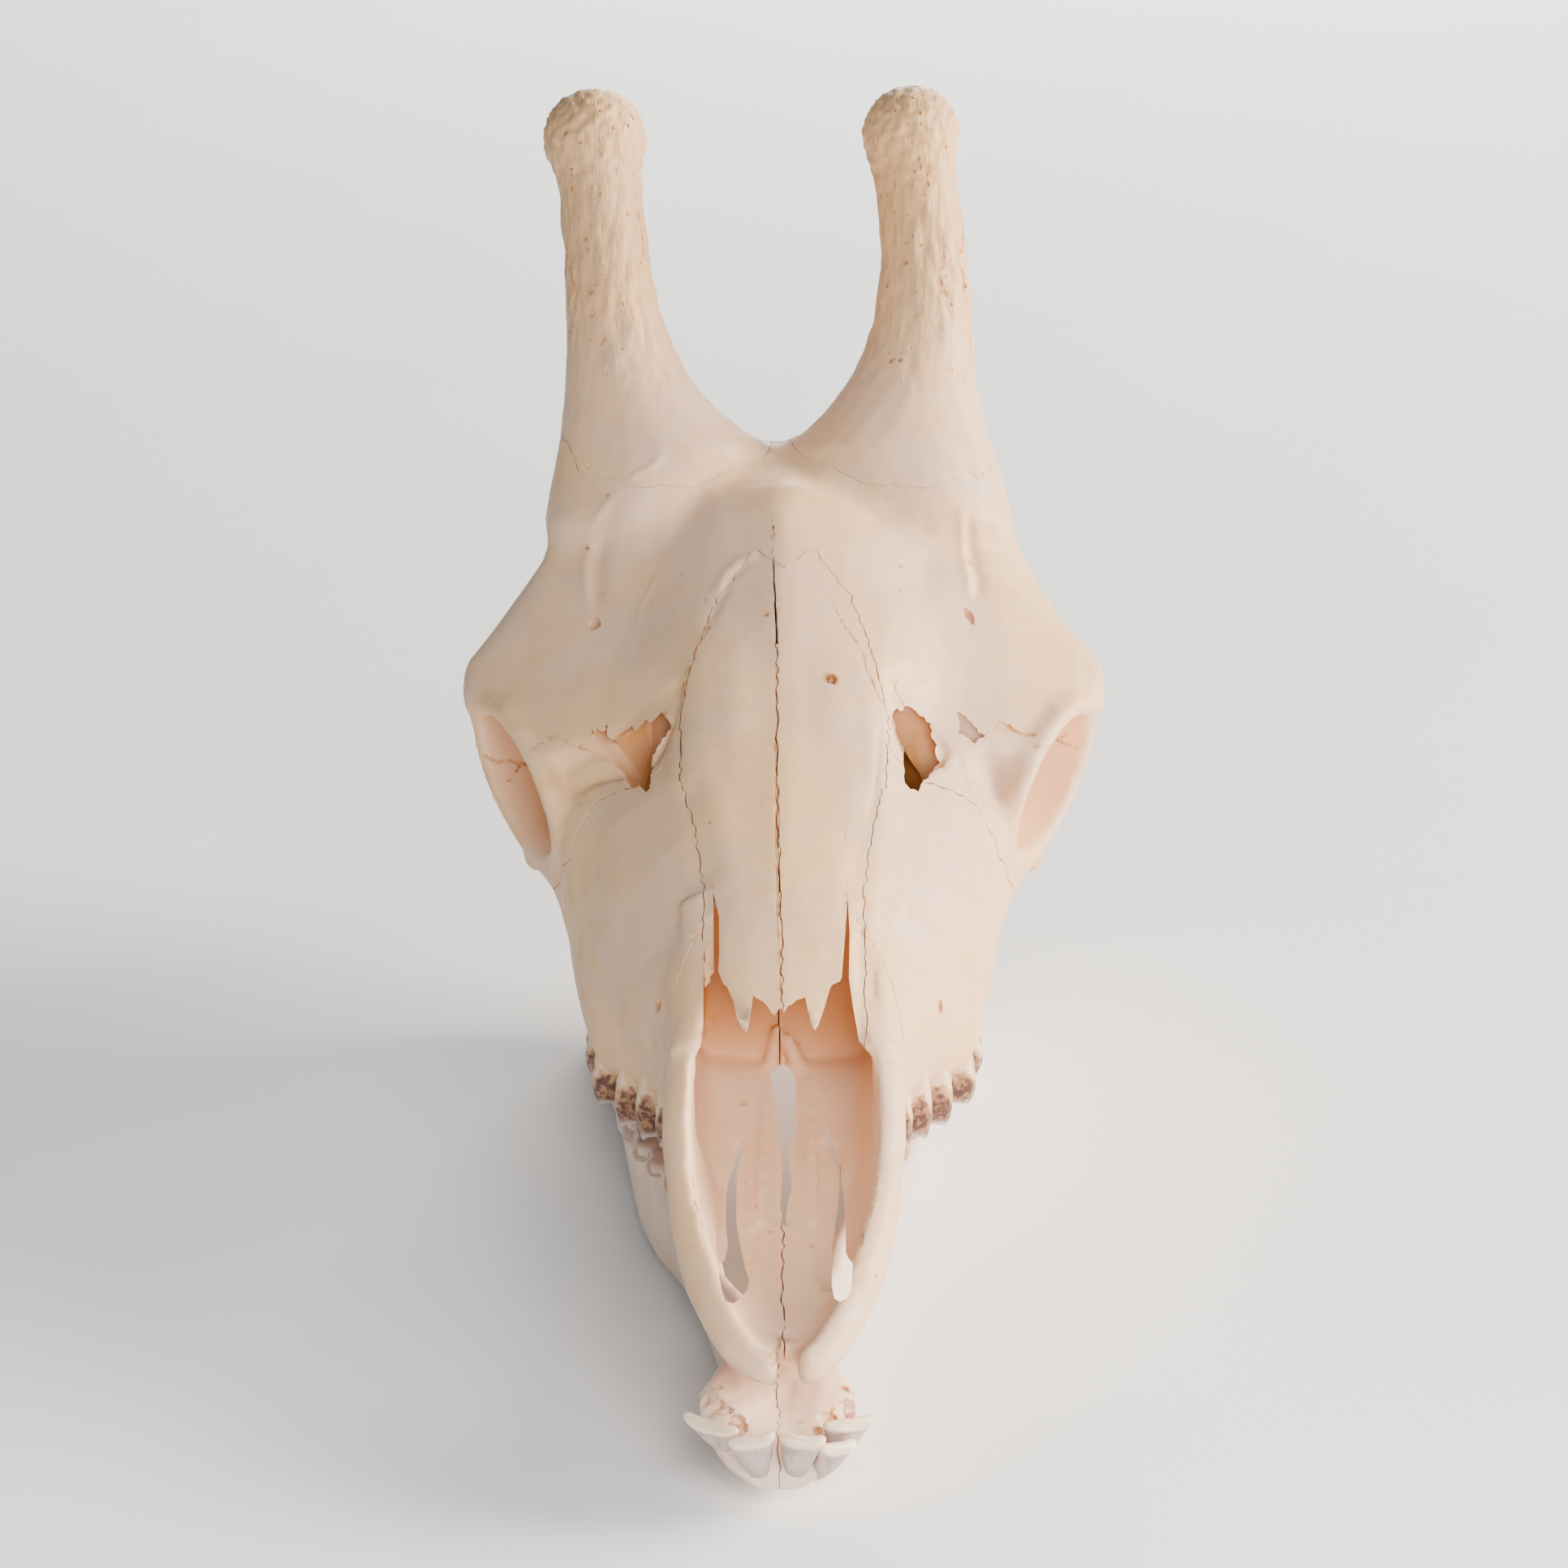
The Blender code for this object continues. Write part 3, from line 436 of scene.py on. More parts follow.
def even_steps(path: Sequence[Vector], step: float) -> list[Vector]:
    """Points along a path at even steps, both ends included.

    Args:
        path: The path's corners.
        step: Wanted distance between points.

    Returns:
        The points.
    """
    run = [path[0].copy()]
    for a, b in zip(path, path[1:]):
        count = max(1, round((b - a).length / step))
        run += [a.lerp(b, (k + 1) / count) for k in range(count)]
    return run


@dataclass
class Jitter:
    """A repeatable unevenness for broken and grown edges."""

    seed: int
    draw: random.Random = field(init=False)

    def __post_init__(self) -> None:
        """Starts the sequence."""
        self.draw = random.Random(self.seed)

    def along(self, line: Sequence[Pixel], step: float, reach: float) -> list[Pixel]:
        """A flat line with small teeth to both sides.

        Args:
            line: Corners of the line.
            step: Distance between the teeth's points.
            reach: How far the teeth stand out.

        Returns:
            The toothed line, its ends in place.
        """
        run = even_steps([Vector((a, b, 0.0)) for a, b in line], step)
        out = []
        for i, p in enumerate(run):
            ahead = (run[min(i + 1, len(run) - 1)] - run[max(i - 1, 0)]).normalized()
            push = 0.0 if i in (0, len(run) - 1) else self.draw.uniform(-reach, reach)
            out.append((p.x - ahead.y * push, p.y + ahead.x * push))
        return out

    def wander(self, path: Sequence[Vector], reach: float) -> list[Vector]:
        """A path whose inner points are moved a little in all directions."""
        ends = (0, len(path) - 1)
        return [p if i in ends else p + self.shake(reach) for i, p in enumerate(path)]

    def shake(self, reach: float) -> Vector:
        """A small random move."""
        return Vector([self.draw.uniform(-reach, reach) for _ in range(3)])


@dataclass(frozen=True)
class Seam:
    """A wall of changing thickness that parts two bones."""

    line: tuple[Pixel, ...]
    axis: Axis
    low: float
    high: float
    width: float = 0.7
    teeth: float = 0.8
    step: float = 2.4

    def wall(self, jitter: Jitter) -> bpy.types.Object:
        """Builds the wall.

        Args:
            jitter: Source of the unevenness.

        Returns:
            The closed wall.
        """
        run = jitter.along(self.line, self.step, self.teeth)
        left, right = [], []
        for i, (a, b) in enumerate(run):
            (a0, b0), (a1, b1) = run[max(i - 1, 0)], run[min(i + 1, len(run) - 1)]
            length = math.hypot(a1 - a0, b1 - b0) or 1.0
            half = self.width * 0.5 * jitter.draw.uniform(0.75, 1.3)
            across = (-(b1 - b0) / length * half, (a1 - a0) / length * half)
            left.append((a + across[0], b + across[1]))
            right.append((a - across[0], b - across[1]))
        return prism("seam", left + right[::-1], self.low, self.high, self.axis)


@dataclass(frozen=True)
class Crack:
    """A thin break or the furrow of a vessel, along pixels of the photograph."""

    pixels: tuple[Pixel, ...]
    radius: float = 0.4
    stain: float = 0.6
    reach: float = 1.6
    shake: float = 0.5


@dataclass(frozen=True)
class Pit:
    """A hole or hollow sunk into the bone where a pixel of the photograph shows it."""

    pixel: Pixel
    radii: Point
    stain: float = 0.7
    reach: float = 2.0
    rough: float = 0.18
    rise: float = 0.0

    def cutter(self, spot: Vector, normal: Vector) -> bpy.types.Object:
        """Builds the uneven body that is cut out.

        Args:
            spot: Where it sits on the bone.
            normal: Direction of the bone's surface there.

        Returns:
            The closed cutter.
        """
        turn = normal.to_track_quat("Z", "Y").to_matrix().to_4x4()
        place = Matrix.Translation(spot + normal * self.rise) @ turn @ Matrix.Diagonal((*self.radii, 1.0))
        bm = bmesh.new()
        bmesh.ops.create_icosphere(bm, subdivisions=3 if max(self.radii) > 3 else 2, radius=1.0)
        for vert in bm.verts:
            vert.co *= 1.0 + self.rough * noise.noise(vert.co * 2.3 + spot)
        bmesh.ops.transform(bm, matrix=place, verts=bm.verts)
        return as_object("pit", bm)


@dataclass(frozen=True)
class Furrow:
    """A soft groove or pit pressed into the bone, along pixels of the photograph."""

    pixels: tuple[Pixel, ...]
    radius: float
    depth: float


# The bone's fine surface


class Sculptor:
    """Shapes the points of a fine mesh, in the skull's millimetres."""

    def __init__(self, made: bpy.types.Object) -> None:
        """Reads the mesh.

        Args:
            made: The object to shape.
        """
        self.mesh = made.data
        self.points = read_points(self.mesh).astype(np.float64)
        normals = np.empty(self.points.size, dtype=np.float32)
        self.mesh.vertex_normals.foreach_get("vector", normals)
        self.normals = normals.reshape(-1, 3).astype(np.float64)

    def near(self, path: Sequence[Vector], reach: float) -> tuple[np.ndarray, np.ndarray, np.ndarray]:
        """Points of the mesh close to a path.

        Args:
            path: The path.
            reach: Greatest distance.

        Returns:
            Their numbers, their distances and how far along the path they lie, from 0 to 1.
        """
        spots = np.array([tuple(p) for p in even_steps(path, max(reach * 0.25, 0.5))])
        low, high = spots.min(axis=0) - reach, spots.max(axis=0) + reach
        inside = np.nonzero(np.all((self.points > low) & (self.points < high), axis=1))[0]
        if not len(inside):
            return inside, np.empty(0), np.empty(0)
        gaps = np.linalg.norm(self.points[inside][:, None, :] - spots[None, :, :], axis=2)
        best = gaps.argmin(axis=1)
        distance = gaps[np.arange(len(inside)), best]
        keep = distance < reach
        return inside[keep], distance[keep], best[keep] / max(len(spots) - 1, 1)

    def press(self, path: Sequence[Vector], radius: float, depth: float, taper: bool = True) -> None:
        """Presses a soft groove along a path, or raises a ridge for a negative depth.

        Args:
            path: The groove's middle.
            radius: Its half width.
            depth: Its depth in the middle.
            taper: Whether it runs out at its ends.
        """
        found, distance, along = self.near(path, radius * 2.2)
        fade = np.exp(-((distance / radius) ** 2))
        if taper and len(path) > 1:
            fade *= np.clip(np.minimum(along, 1 - along) * 6, 0, 1)
        self.points[found] -= self.normals[found] * (fade * depth)[:, None]

    def swell(self, centre: Point, radii: Point, height: float) -> None:
        """Raises a soft mound, or sinks a hollow for a negative height.

        Args:
            centre: Its middle.
            radii: Its reach along x, y and z.
            height: Its height in the middle.
        """
        share = np.linalg.norm((self.points - np.array(centre)) / np.array(radii), axis=1)
        fade = np.exp(-(share ** 2) * 2.0)
        self.points += self.normals * (fade * height)[:, None]

    def ripple(self, weight: np.ndarray, grain: float, height: float, along: Vector, stretch: float,
               sharp: float = 1.0) -> None:
        """Roughens the surface with grown unevenness.

        Args:
            weight: How much of it each point takes.
            grain: Size of the bumps.
            height: Height of the bumps.
            along: Direction in which the bumps are drawn out.
            stretch: How many times longer they are that way.
            sharp: Over 1 makes them pits with flats between.
        """
        way = np.array(along.normalized())
        lengthwise = self.points @ way
        drawn = self.points + np.outer(lengthwise * (1.0 / stretch - 1.0), way)
        chosen = np.nonzero(weight > 0.01)[0]
        moved = np.empty(len(chosen))
        for i, number in enumerate(chosen):
            moved[i] = noise.noise(Vector(drawn[number] / grain))
        moved = np.sign(moved) * np.abs(moved) ** sharp if sharp == 1.0 else -np.clip(moved, 0, 1) ** sharp
        self.points[chosen] += self.normals[chosen] * (moved * weight[chosen] * height)[:, None]

    def write(self) -> None:
        """Puts the points back into the mesh."""
        self.mesh.vertices.foreach_set("co", self.points.astype(np.float32).ravel())
        self.mesh.update()

    def mark(self, name: str, values: np.ndarray) -> None:
        """Keeps a number for each point as an attribute for the materials.

        Args:
            name: Name of the attribute.
            values: One number for each point.
        """
        if name not in self.mesh.attributes:
            self.mesh.attributes.new(name, "FLOAT", "POINT")
        self.mesh.attributes[name].data.foreach_set("value", values.astype(np.float32))


def soft_step(values: np.ndarray, low: float, high: float) -> np.ndarray:
    """Rises smoothly from 0 at low to 1 at high."""
    t = np.clip((values - low) / (high - low), 0.0, 1.0)
    return t * t * (3.0 - 2.0 * t)


# Finishes


class ShaderSheet:
    """The node tree of one material, drawn up step by step."""

    def __init__(self, name: str) -> None:
        """Starts a material with its usual shader.

        Args:
            name: Name of the material.
        """
        self.material = bpy.data.materials.new(name)
        self.material.use_nodes = True
        self.tree = self.material.node_tree
        self.shader = self.tree.nodes["Principled BSDF"]
        self.here = self.node("ShaderNodeTexCoord").outputs["Object"]

    def node(self, kind: str, **settings: object) -> bpy.types.Node:
        """Adds a node with the given settings."""
        made = self.tree.nodes.new(kind)
        for key, value in settings.items():
            setattr(made, key, value)
        return made

    def feed(self, socket: bpy.types.NodeSocket, value: object) -> None:
        """Links an output into a socket, or sets a number or colour on it.

        Args:
            socket: The input to fill.
            value: An output socket, a number or a colour.
        """
        if isinstance(value, bpy.types.NodeSocket):
            self.tree.links.new(value, socket)
        else:
            socket.default_value = value

    def put(self, name: str, value: object) -> None:
        """Feeds an input of the shader by its name."""
        self.feed(self.shader.inputs[name], value)

    def grain(self, scale: float, detail: float, stretch: Point = (1.0, 1.0, 1.0),
              turn: Point = (0.0, 0.0, 0.0)) -> bpy.types.NodeSocket:
        """A cloudy pattern.

        Args:
            scale: How fine it is, per metre.
            detail: How many finer layers it has.
            stretch: Scale of the pattern along each axis.
            turn: Turn of the pattern about each axis.

        Returns:
            Its strength, from 0 to 1.
        """
        mapping = self.node("ShaderNodeMapping")
        mapping.inputs["Scale"].default_value = stretch
        mapping.inputs["Rotation"].default_value = turn
        self.feed(mapping.inputs["Vector"], self.here)
        made = self.node("ShaderNodeTexNoise")
        made.inputs["Scale"].default_value = scale
        made.inputs["Detail"].default_value = detail
        made.inputs["Roughness"].default_value = 0.6
        self.feed(made.inputs["Vector"], mapping.outputs["Vector"])
        return made.outputs["Fac"]

    def specks(self, scale: float, size: float) -> bpy.types.NodeSocket:
        """Small round dots.

        Args:
            scale: How close they are, per metre.
            size: Their size as a share of their spacing.

        Returns:
            1 on a dot and 0 between them.
        """
        made = self.node("ShaderNodeTexVoronoi")
        made.inputs["Scale"].default_value = scale
        self.feed(made.inputs["Vector"], self.here)
        return self.span(made.outputs["Distance"], size, size * 0.4)

    def span(self, value: bpy.types.NodeSocket, low: float, high: float, to_low: float = 0.0,
             to_high: float = 1.0) -> bpy.types.NodeSocket:
        """Maps a range of strengths to another, smoothly and within it.

        Args:
            value: The strength.
            low: Strength that becomes to_low.
            high: Strength that becomes to_high.
            to_low: New low end.
            to_high: New high end.

        Returns:
            The new strength.
        """
        made = self.node("ShaderNodeMapRange", interpolation_type="SMOOTHSTEP")
        for name, number in (("From Min", low), ("From Max", high), ("To Min", to_low), ("To Max", to_high)):
            made.inputs[name].default_value = number
        self.feed(made.inputs["Value"], value)
        return made.outputs["Result"]

    def attribute(self, name: str) -> bpy.types.NodeSocket:
        """A number kept on the mesh."""
        return self.node("ShaderNodeAttribute", attribute_name=name).outputs["Fac"]

    def times(self, a: object, b: object) -> bpy.types.NodeSocket:
        """The product of two strengths."""
        made = self.node("ShaderNodeMath", operation="MULTIPLY")
        self.feed(made.inputs[0], a)
        self.feed(made.inputs[1], b)
        return made.outputs[0]

    def blend(self, amount: object, under: object, over: object) -> bpy.types.NodeSocket:
        """Lays one colour over another.

        Args:
            amount: How much of the upper colour shows.
            under: Lower colour.
            over: Upper colour.

        Returns:
            The mixed colour.
        """
        made = self.node("ShaderNodeMix", data_type="RGBA")
        self.feed(made.inputs["Factor"], amount)
        self.feed(made.inputs["A"], under)
        self.feed(made.inputs["B"], over)
        return made.outputs["Result"]

    def bump(self, height: object, strength: float, distance: float,
             normal: bpy.types.NodeSocket | None = None) -> bpy.types.NodeSocket:
        """Turns a pattern into relief.

        Args:
            height: The pattern.
            strength: Share of the relief that shows.
            distance: Height of the relief in metres.
            normal: Relief underneath, if any.

        Returns:
            The new surface direction.
        """
        made = self.node("ShaderNodeBump")
        made.inputs["Strength"].default_value = strength
        made.inputs["Distance"].default_value = distance
        self.feed(made.inputs["Height"], height)
        if normal is not None:
            self.feed(made.inputs["Normal"], normal)
        return made.outputs["Normal"]


def tint(red: float, green: float, blue: float) -> tuple[float, float, float, float]:
    """A colour with full cover."""
    return (red, green, blue, 1.0)


@dataclass(frozen=True)
class BoneFinish:
    """Bleached bone: ivory with faint patches, pores and brown in its cracks, with painted glow (peach) and painted
    shade (dark orange) inside the nose, eye sockets and torn openings.
    """

    ivory: tuple = tint(0.86, 0.52, 0.27)
    shade: tuple = tint(0.74, 0.49, 0.34)
    tan: tuple = tint(0.70, 0.38, 0.15)
    # Painted glow: peach for light that shines through thin bone and bounces inside the nose and eye sockets; on the
    # jaw a peach patch
    peach: tuple = tint(0.98, 0.65, 0.42)
    # Painted shade: dark orange deep inside the nose and the torn openings
    painted_recess_shade: tuple = tint(0.70, 0.30, 0.08)
    rust: tuple = tint(0.50, 0.20, 0.06)
    dark: tuple = tint(0.10, 0.035, 0.015)
    pore: tuple = tint(0.36, 0.24, 0.14)
    roughness: float = 0.55

    def material(self, name: str) -> bpy.types.Material:
        """Draws up the material.

        Args:
            name: Name of the material.

        Returns:
            The material.
        """
        sheet = ShaderSheet(name)
        patches = sheet.span(sheet.grain(13.0, 3.0), 0.36, 0.66)
        mottle = sheet.span(sheet.grain(85.0, 7.0), 0.42, 0.72)
        rugose = sheet.attribute("rugose")
        peach_and_painted_glow = sheet.attribute("peach_and_painted_glow")
        stain = sheet.attribute("stain")
        colour = sheet.blend(patches, self.ivory, self.shade)
        colour = sheet.blend(sheet.times(mottle, 0.30), colour, self.tan)
        colour = sheet.blend(sheet.times(rugose, 0.60), colour, self.tan)
        # Painted glow inside the nose, eye sockets and torn openings; a peach patch on the jaw
        colour = sheet.blend(peach_and_painted_glow, colour, self.peach)
        # Painted shade deep inside the nose and the torn openings
        colour = sheet.blend(sheet.attribute("deep"), colour, self.painted_recess_shade)
        dots = sheet.specks(620.0, 0.20)
        colour = sheet.blend(sheet.times(dots, sheet.span(rugose, 0.05, 0.6, 0.05, 0.7)), colour, self.pore)
        streaks = sheet.span(sheet.grain(160.0, 5.0), 0.40, 0.62)
        colour = sheet.blend(sheet.times(sheet.span(stain, 0.02, 0.45), streaks), colour, self.rust)
        colour = sheet.blend(sheet.span(stain, 0.45, 0.95), colour, self.dark)
        sheet.put("Base Color", colour)
        sheet.put("Roughness", sheet.span(mottle, 0.0, 1.0, self.roughness - 0.06, self.roughness + 0.16))
        relief = sheet.bump(sheet.grain(260.0, 6.0), 0.30, 0.0006)
        relief = sheet.bump(sheet.grain(1500.0, 3.0), 0.25, 0.00012, relief)
        fibres = sheet.times(sheet.grain(430.0, 4.0, (1.0, 0.42, 0.22), (0.45, 0.0, 0.0)), rugose)
        relief = sheet.bump(fibres, 0.9, 0.0011, relief)
        sheet.put("Normal", relief)
        sheet.put("Specular IOR Level", 0.35)
        sheet.put("Subsurface Weight", 0.12)
        sheet.put("Subsurface Radius", (1.0, 0.55, 0.35))
        sheet.put("Subsurface Scale", 0.004)
        return sheet.material


# The jaw's bone is a lighter, pinker copy of the skull's: painted fill light on a jaw that lies mostly in shade
JAW_FINISH_WITH_PAINTED_FILL = BoneFinish(ivory=tint(0.90, 0.65, 0.49), shade=tint(0.82, 0.61, 0.50), tan=tint(0.66, 0.43, 0.25))


@dataclass(frozen=True)
class ToothFinish:
    """Enamel that is cream at the gum and stained nearly black towards the crown."""

    cream: tuple = tint(0.86, 0.60, 0.38)
    amber: tuple = tint(0.60, 0.30, 0.14)
    black: tuple = tint(0.10, 0.034, 0.02)
    pale: tuple = tint(0.74, 0.60, 0.57)
    stained: float = 1.0

    def material(self, name: str) -> bpy.types.Material:
        """Draws up the material.

        Args:
            name: Name of the material.

        Returns:
            The material.
        """
        sheet = ShaderSheet(name)
        rise = sheet.attribute("rise")
        edge = sheet.attribute("edge")
        wobble = sheet.node("ShaderNodeMath", operation="ADD")
        sheet.feed(wobble.inputs[0], rise)
        sheet.feed(wobble.inputs[1], sheet.span(sheet.grain(240.0, 5.0), 0.2, 0.8, -0.22, 0.22))
        level = wobble.outputs[0]
        blots = sheet.span(sheet.grain(330.0, 6.0), 0.38, 0.6)
        colour = sheet.blend(sheet.times(sheet.span(level, 0.18, 0.40), self.stained), self.cream, self.amber)
        dark = sheet.times(sheet.span(level, 0.36, 0.62), sheet.span(blots, 0.0, 1.0, 0.45, 1.0))
        colour = sheet.blend(sheet.times(dark, self.stained), colour, self.black)
        colour = sheet.blend(sheet.times(edge, 0.75), colour, self.pale)
        sheet.put("Base Color", colour)
        sheet.put("Roughness", sheet.span(blots, 0.0, 1.0, 0.30, 0.5))
        sheet.put("Normal", sheet.bump(sheet.grain(500.0, 5.0), 0.5, 0.0004))
        return sheet.material


@dataclass(frozen=True)
class SpadeFinish:
    """Front teeth: lavender grey outside with a faint brown streak and a thin cream biting edge."""

    grey: tuple = tint(0.50, 0.37, 0.35)
    cream: tuple = tint(0.92, 0.68, 0.48)
    peach: tuple = tint(0.62, 0.45, 0.38)
    streak: tuple = tint(0.26, 0.16, 0.11)

    def material(self, name: str) -> bpy.types.Material:
        """Draws up the material.

        Args:
            name: Name of the material.

        Returns:
            The material.
        """
        sheet = ShaderSheet(name)
        rise = sheet.attribute("rise")
        edge = sheet.attribute("edge")
        cloud = sheet.span(sheet.grain(120.0, 4.0), 0.35, 0.65)
        colour = sheet.blend(cloud, self.grey, self.peach)
        lines = sheet.span(sheet.grain(260.0, 4.0, (1.0, 0.3, 0.22), (0.5, 0.0, 0.0)), 0.52, 0.68)
        colour = sheet.blend(sheet.times(lines, 0.55), colour, self.streak)
        # Browner towards the root, where the tooth meets the bone
        colour = sheet.blend(sheet.times(sheet.span(rise, 0.2, 0.6, 1.0, 0.0), 0.5), colour, self.streak)
        colour = sheet.blend(edge, colour, self.cream)
        sheet.put("Base Color", colour)
        sheet.put("Roughness", sheet.span(cloud, 0.0, 1.0, 0.3, 0.42))
        sheet.put("Normal", sheet.bump(sheet.grain(400.0, 4.0), 0.3, 0.0003))
        return sheet.material


@dataclass(frozen=True)
class StudioFinish:
    """The pale floor, faintly cloudy."""

    colour: tuple = tint(0.93, 0.93, 0.93)
    cloudy: tuple = tint(0.91, 0.91, 0.91)

    def material(self, name: str) -> bpy.types.Material:
        """Draws up the material, matt and nearly white.

        Args:
            name: Name of the material.

        Returns:
            The material.
        """
        sheet = ShaderSheet(name)
        cloud = sheet.span(sheet.grain(3.0, 2.0), 0.3, 0.7)
        sheet.put("Base Color", sheet.blend(cloud, self.colour, self.cloudy))
        sheet.put("Roughness", 0.9)
        sheet.put("Specular IOR Level", 0.1)
        return sheet.material


# Parts of the skull


@dataclass
class BoneSkin:
    """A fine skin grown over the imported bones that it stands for."""

    nodes: tuple[str, ...]
    spots: dict[str, Point]
    voxel: float
    smooth: int
    jitter: Jitter
    tree: BVHTree = field(init=False, default=None)
    stains: list[tuple[Vector, float, float]] = field(init=False, default_factory=list)

    def gather(self) -> bpy.types.Object:
        """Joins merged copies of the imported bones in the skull's own frame.

        Returns:
            One object holding all of them.
        """
        back = REST.matrix().inverted()
        bm = bmesh.new()
        for name in self.nodes:
            bm.from_mesh(frame["nodes"][name].data)
        bmesh.ops.remove_doubles(bm, verts=bm.verts, dist=1e-6)
        bmesh.ops.transform(bm, matrix=back, verts=bm.verts)
        self.trim(bm)
        for made in self.fillers():
            bm.from_mesh(made.data)
            bpy.data.objects.remove(made)
        return as_object("skin", bm)

    def trim(self, bm: bmesh.types.BMesh) -> None:
        """Takes off what finer pieces replace; nothing by default."""

    def fillers(self) -> list[bpy.types.Object]:
        """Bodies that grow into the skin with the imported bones; none by default."""
        return []

    def start(self) -> tuple[bpy.types.Object, Sculptor]:
        """Grows the skin and gets ready to place things on it.

        Returns:
            The skin and its points.
        """
        skin = self.grow()
        LOG.info("skin of %s: %d points", self.nodes[0], len(skin.data.vertices))
        sculptor = Sculptor(skin)
        self.tree = BVHTree.FromPolygons(sculptor.points.tolist(), [tuple(p.vertices) for p in skin.data.polygons])
        return skin, sculptor

    def on_bone(self, pixels: Sequence[Pixel]) -> list[Vector]:
        """Places pixels of the photograph on the bone.

        Args:
            pixels: Columns and rows.

        Returns:
            Points on the skin at even steps, those that miss left out.
        """
        path = []
        for pixel in pixels:
            hit = self.tree.ray_cast(CAMERA.place(), CAMERA.sight(pixel))[0]
            if hit is not None and (not path or (hit - path[-1]).length < 60):
                path.append(hit)
        if len(path) < 2:
            return path
        run = []
        for point in even_steps(path, 1.6):
            near = self.tree.find_nearest(point)[0]
            run.append(near if near is not None else point)
        return run

    def press_furrows(self, sculptor: Sculptor, furrows: Sequence[Furrow]) -> None:
        """Presses soft grooves and raises ridges."""
        for furrow in furrows:
            path = self.on_bone(furrow.pixels)
            if path:
                sculptor.press(path, furrow.radius, furrow.depth, taper=len(path) > 1)

    def crack_tools(self, cracks: Sequence[Crack]) -> list[bpy.types.Object]:
        """Cutters for cracks, thin at both ends; their stains are kept.

        Args:
            cracks: The cracks.

        Returns:
            The cutters.
        """
        tools = []
        for crack in cracks:
            path = self.on_bone(crack.pixels)
            for point in path:
                self.stains.append((point, crack.stain, crack.reach))
            if len(path) < 2 or crack.radius <= 0:
                continue
            run = self.jitter.wander(path, crack.shake)
            last = len(run) - 1
            radii = []
            for i in range(last + 1):
                ends = min(1.0, 0.35 + min(i, last - i) * 0.25)
                radii.append(crack.radius * ends * self.jitter.draw.uniform(0.65, 1.3))
            tools.append(tube("crack", run, radii))
        return tools

    def pit_tools(self, pits: Sequence[Pit]) -> list[bpy.types.Object]:
        """Cutters for holes and hollows; their stains are kept.

        Args:
            pits: The holes.

        Returns:
            The cutters.
        """
        tools = []
        for pit in pits:
            spot, normal = self.tree.ray_cast(CAMERA.place(), CAMERA.sight(pit.pixel))[:2]
            if spot is None:
                LOG.info("no bone behind %s", pit.pixel)
                continue
            if normal.dot(CAMERA.sight(pit.pixel)) > 0:
                normal = -normal
            tools.append(pit.cutter(spot, normal))
            for depth in (0.0, 0.5, 1.0):
                self.stains.append((spot - normal * pit.radii[2] * depth, pit.stain, max(pit.radii) + pit.reach))
        return tools

    def keep_stains(self, sculptor: Sculptor) -> None:
        """Keeps on a piece how stained each point is.

        Args:
            sculptor: The piece's points.
        """
        tree = KDTree(len(self.stains))
        for i, (point, _, _) in enumerate(self.stains):
            tree.insert(point, i)
        tree.balance()
        stain = np.zeros(len(sculptor.points))
        for i, point in enumerate(sculptor.points):
            _, number, distance = tree.find(point)
            _, strength, reach = self.stains[number]
            if distance < reach:
                stain[i] = strength * (1.0 - distance / reach)
        sculptor.mark("stain", stain)

    def grow(self) -> bpy.types.Object:
        """Grows the skin over the joined bones.

        Returns:
            The skin, one closed surface of small even faces.
        """
        made = self.gather()
        skin = made.modifiers.new("skin", "REMESH")
        skin.mode = "VOXEL"
        skin.voxel_size = self.voxel
        soften = made.modifiers.new("soften", "SMOOTH")
        soften.factor = 0.5
        soften.iterations = self.smooth
        return bake(made)

    def part(self, skin: bpy.types.Object) -> dict[str, bpy.types.Object]:
        """Splits the cut skin into one piece for each bone.

        Args:
            skin: The skin, cut through along every seam.

        Returns:
            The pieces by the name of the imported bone.
        """
        scene = bpy.context.scene
        before = set(scene.objects)
        for made in scene.objects:
            made.select_set(False)
        bpy.context.view_layer.objects.active = skin
        skin.select_set(True)
        bpy.ops.object.mode_set(mode="EDIT")
        bpy.ops.mesh.select_all(action="SELECT")
        bpy.ops.mesh.separate(type="LOOSE")
        bpy.ops.object.mode_set(mode="OBJECT")
        loose = [skin] + [made for made in scene.objects if made not in before]
        clouds = {made.name: read_points(made.data) for made in loose}
        pieces = {}
        for name, spot in self.spots.items():
            nearest = min(loose, key=lambda made: np.linalg.norm(clouds[made.name] - spot, axis=1).min())
            pieces[name] = nearest
        for made in loose:
            if made not in pieces.values():
                LOG.info("dropped a scrap of %d points", len(made.data.vertices))
                bpy.data.objects.remove(made)
        for name, made in pieces.items():
            made.name = name + "_bone"
        return pieces


# Most triangles in a piece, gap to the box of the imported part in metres, and angle of a sharp edge
FACE_LIMIT = 190_000
BOX_GAP = 2e-5
SHARP_ANGLE = math.radians(52)


def lighten(made: bpy.types.Object) -> None:
    """Merges faces of a very fine piece where it is flattest, until it is under the limit."""
    triangles = sum(len(face.vertices) - 2 for face in made.data.polygons)
    if triangles > FACE_LIMIT:
        step = made.modifiers.new("lighten", "DECIMATE")
        step.ratio = FACE_LIMIT / triangles
        bake(made)


def keep_inside(made: bpy.types.Object) -> None:
    """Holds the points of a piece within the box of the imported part."""
    low, high = CAD_BOX
    inside = np.clip(read_points(made.data), np.array(low) + BOX_GAP, np.array(high) - BOX_GAP)
    made.data.vertices.foreach_set("co", inside.astype(np.float32).ravel())


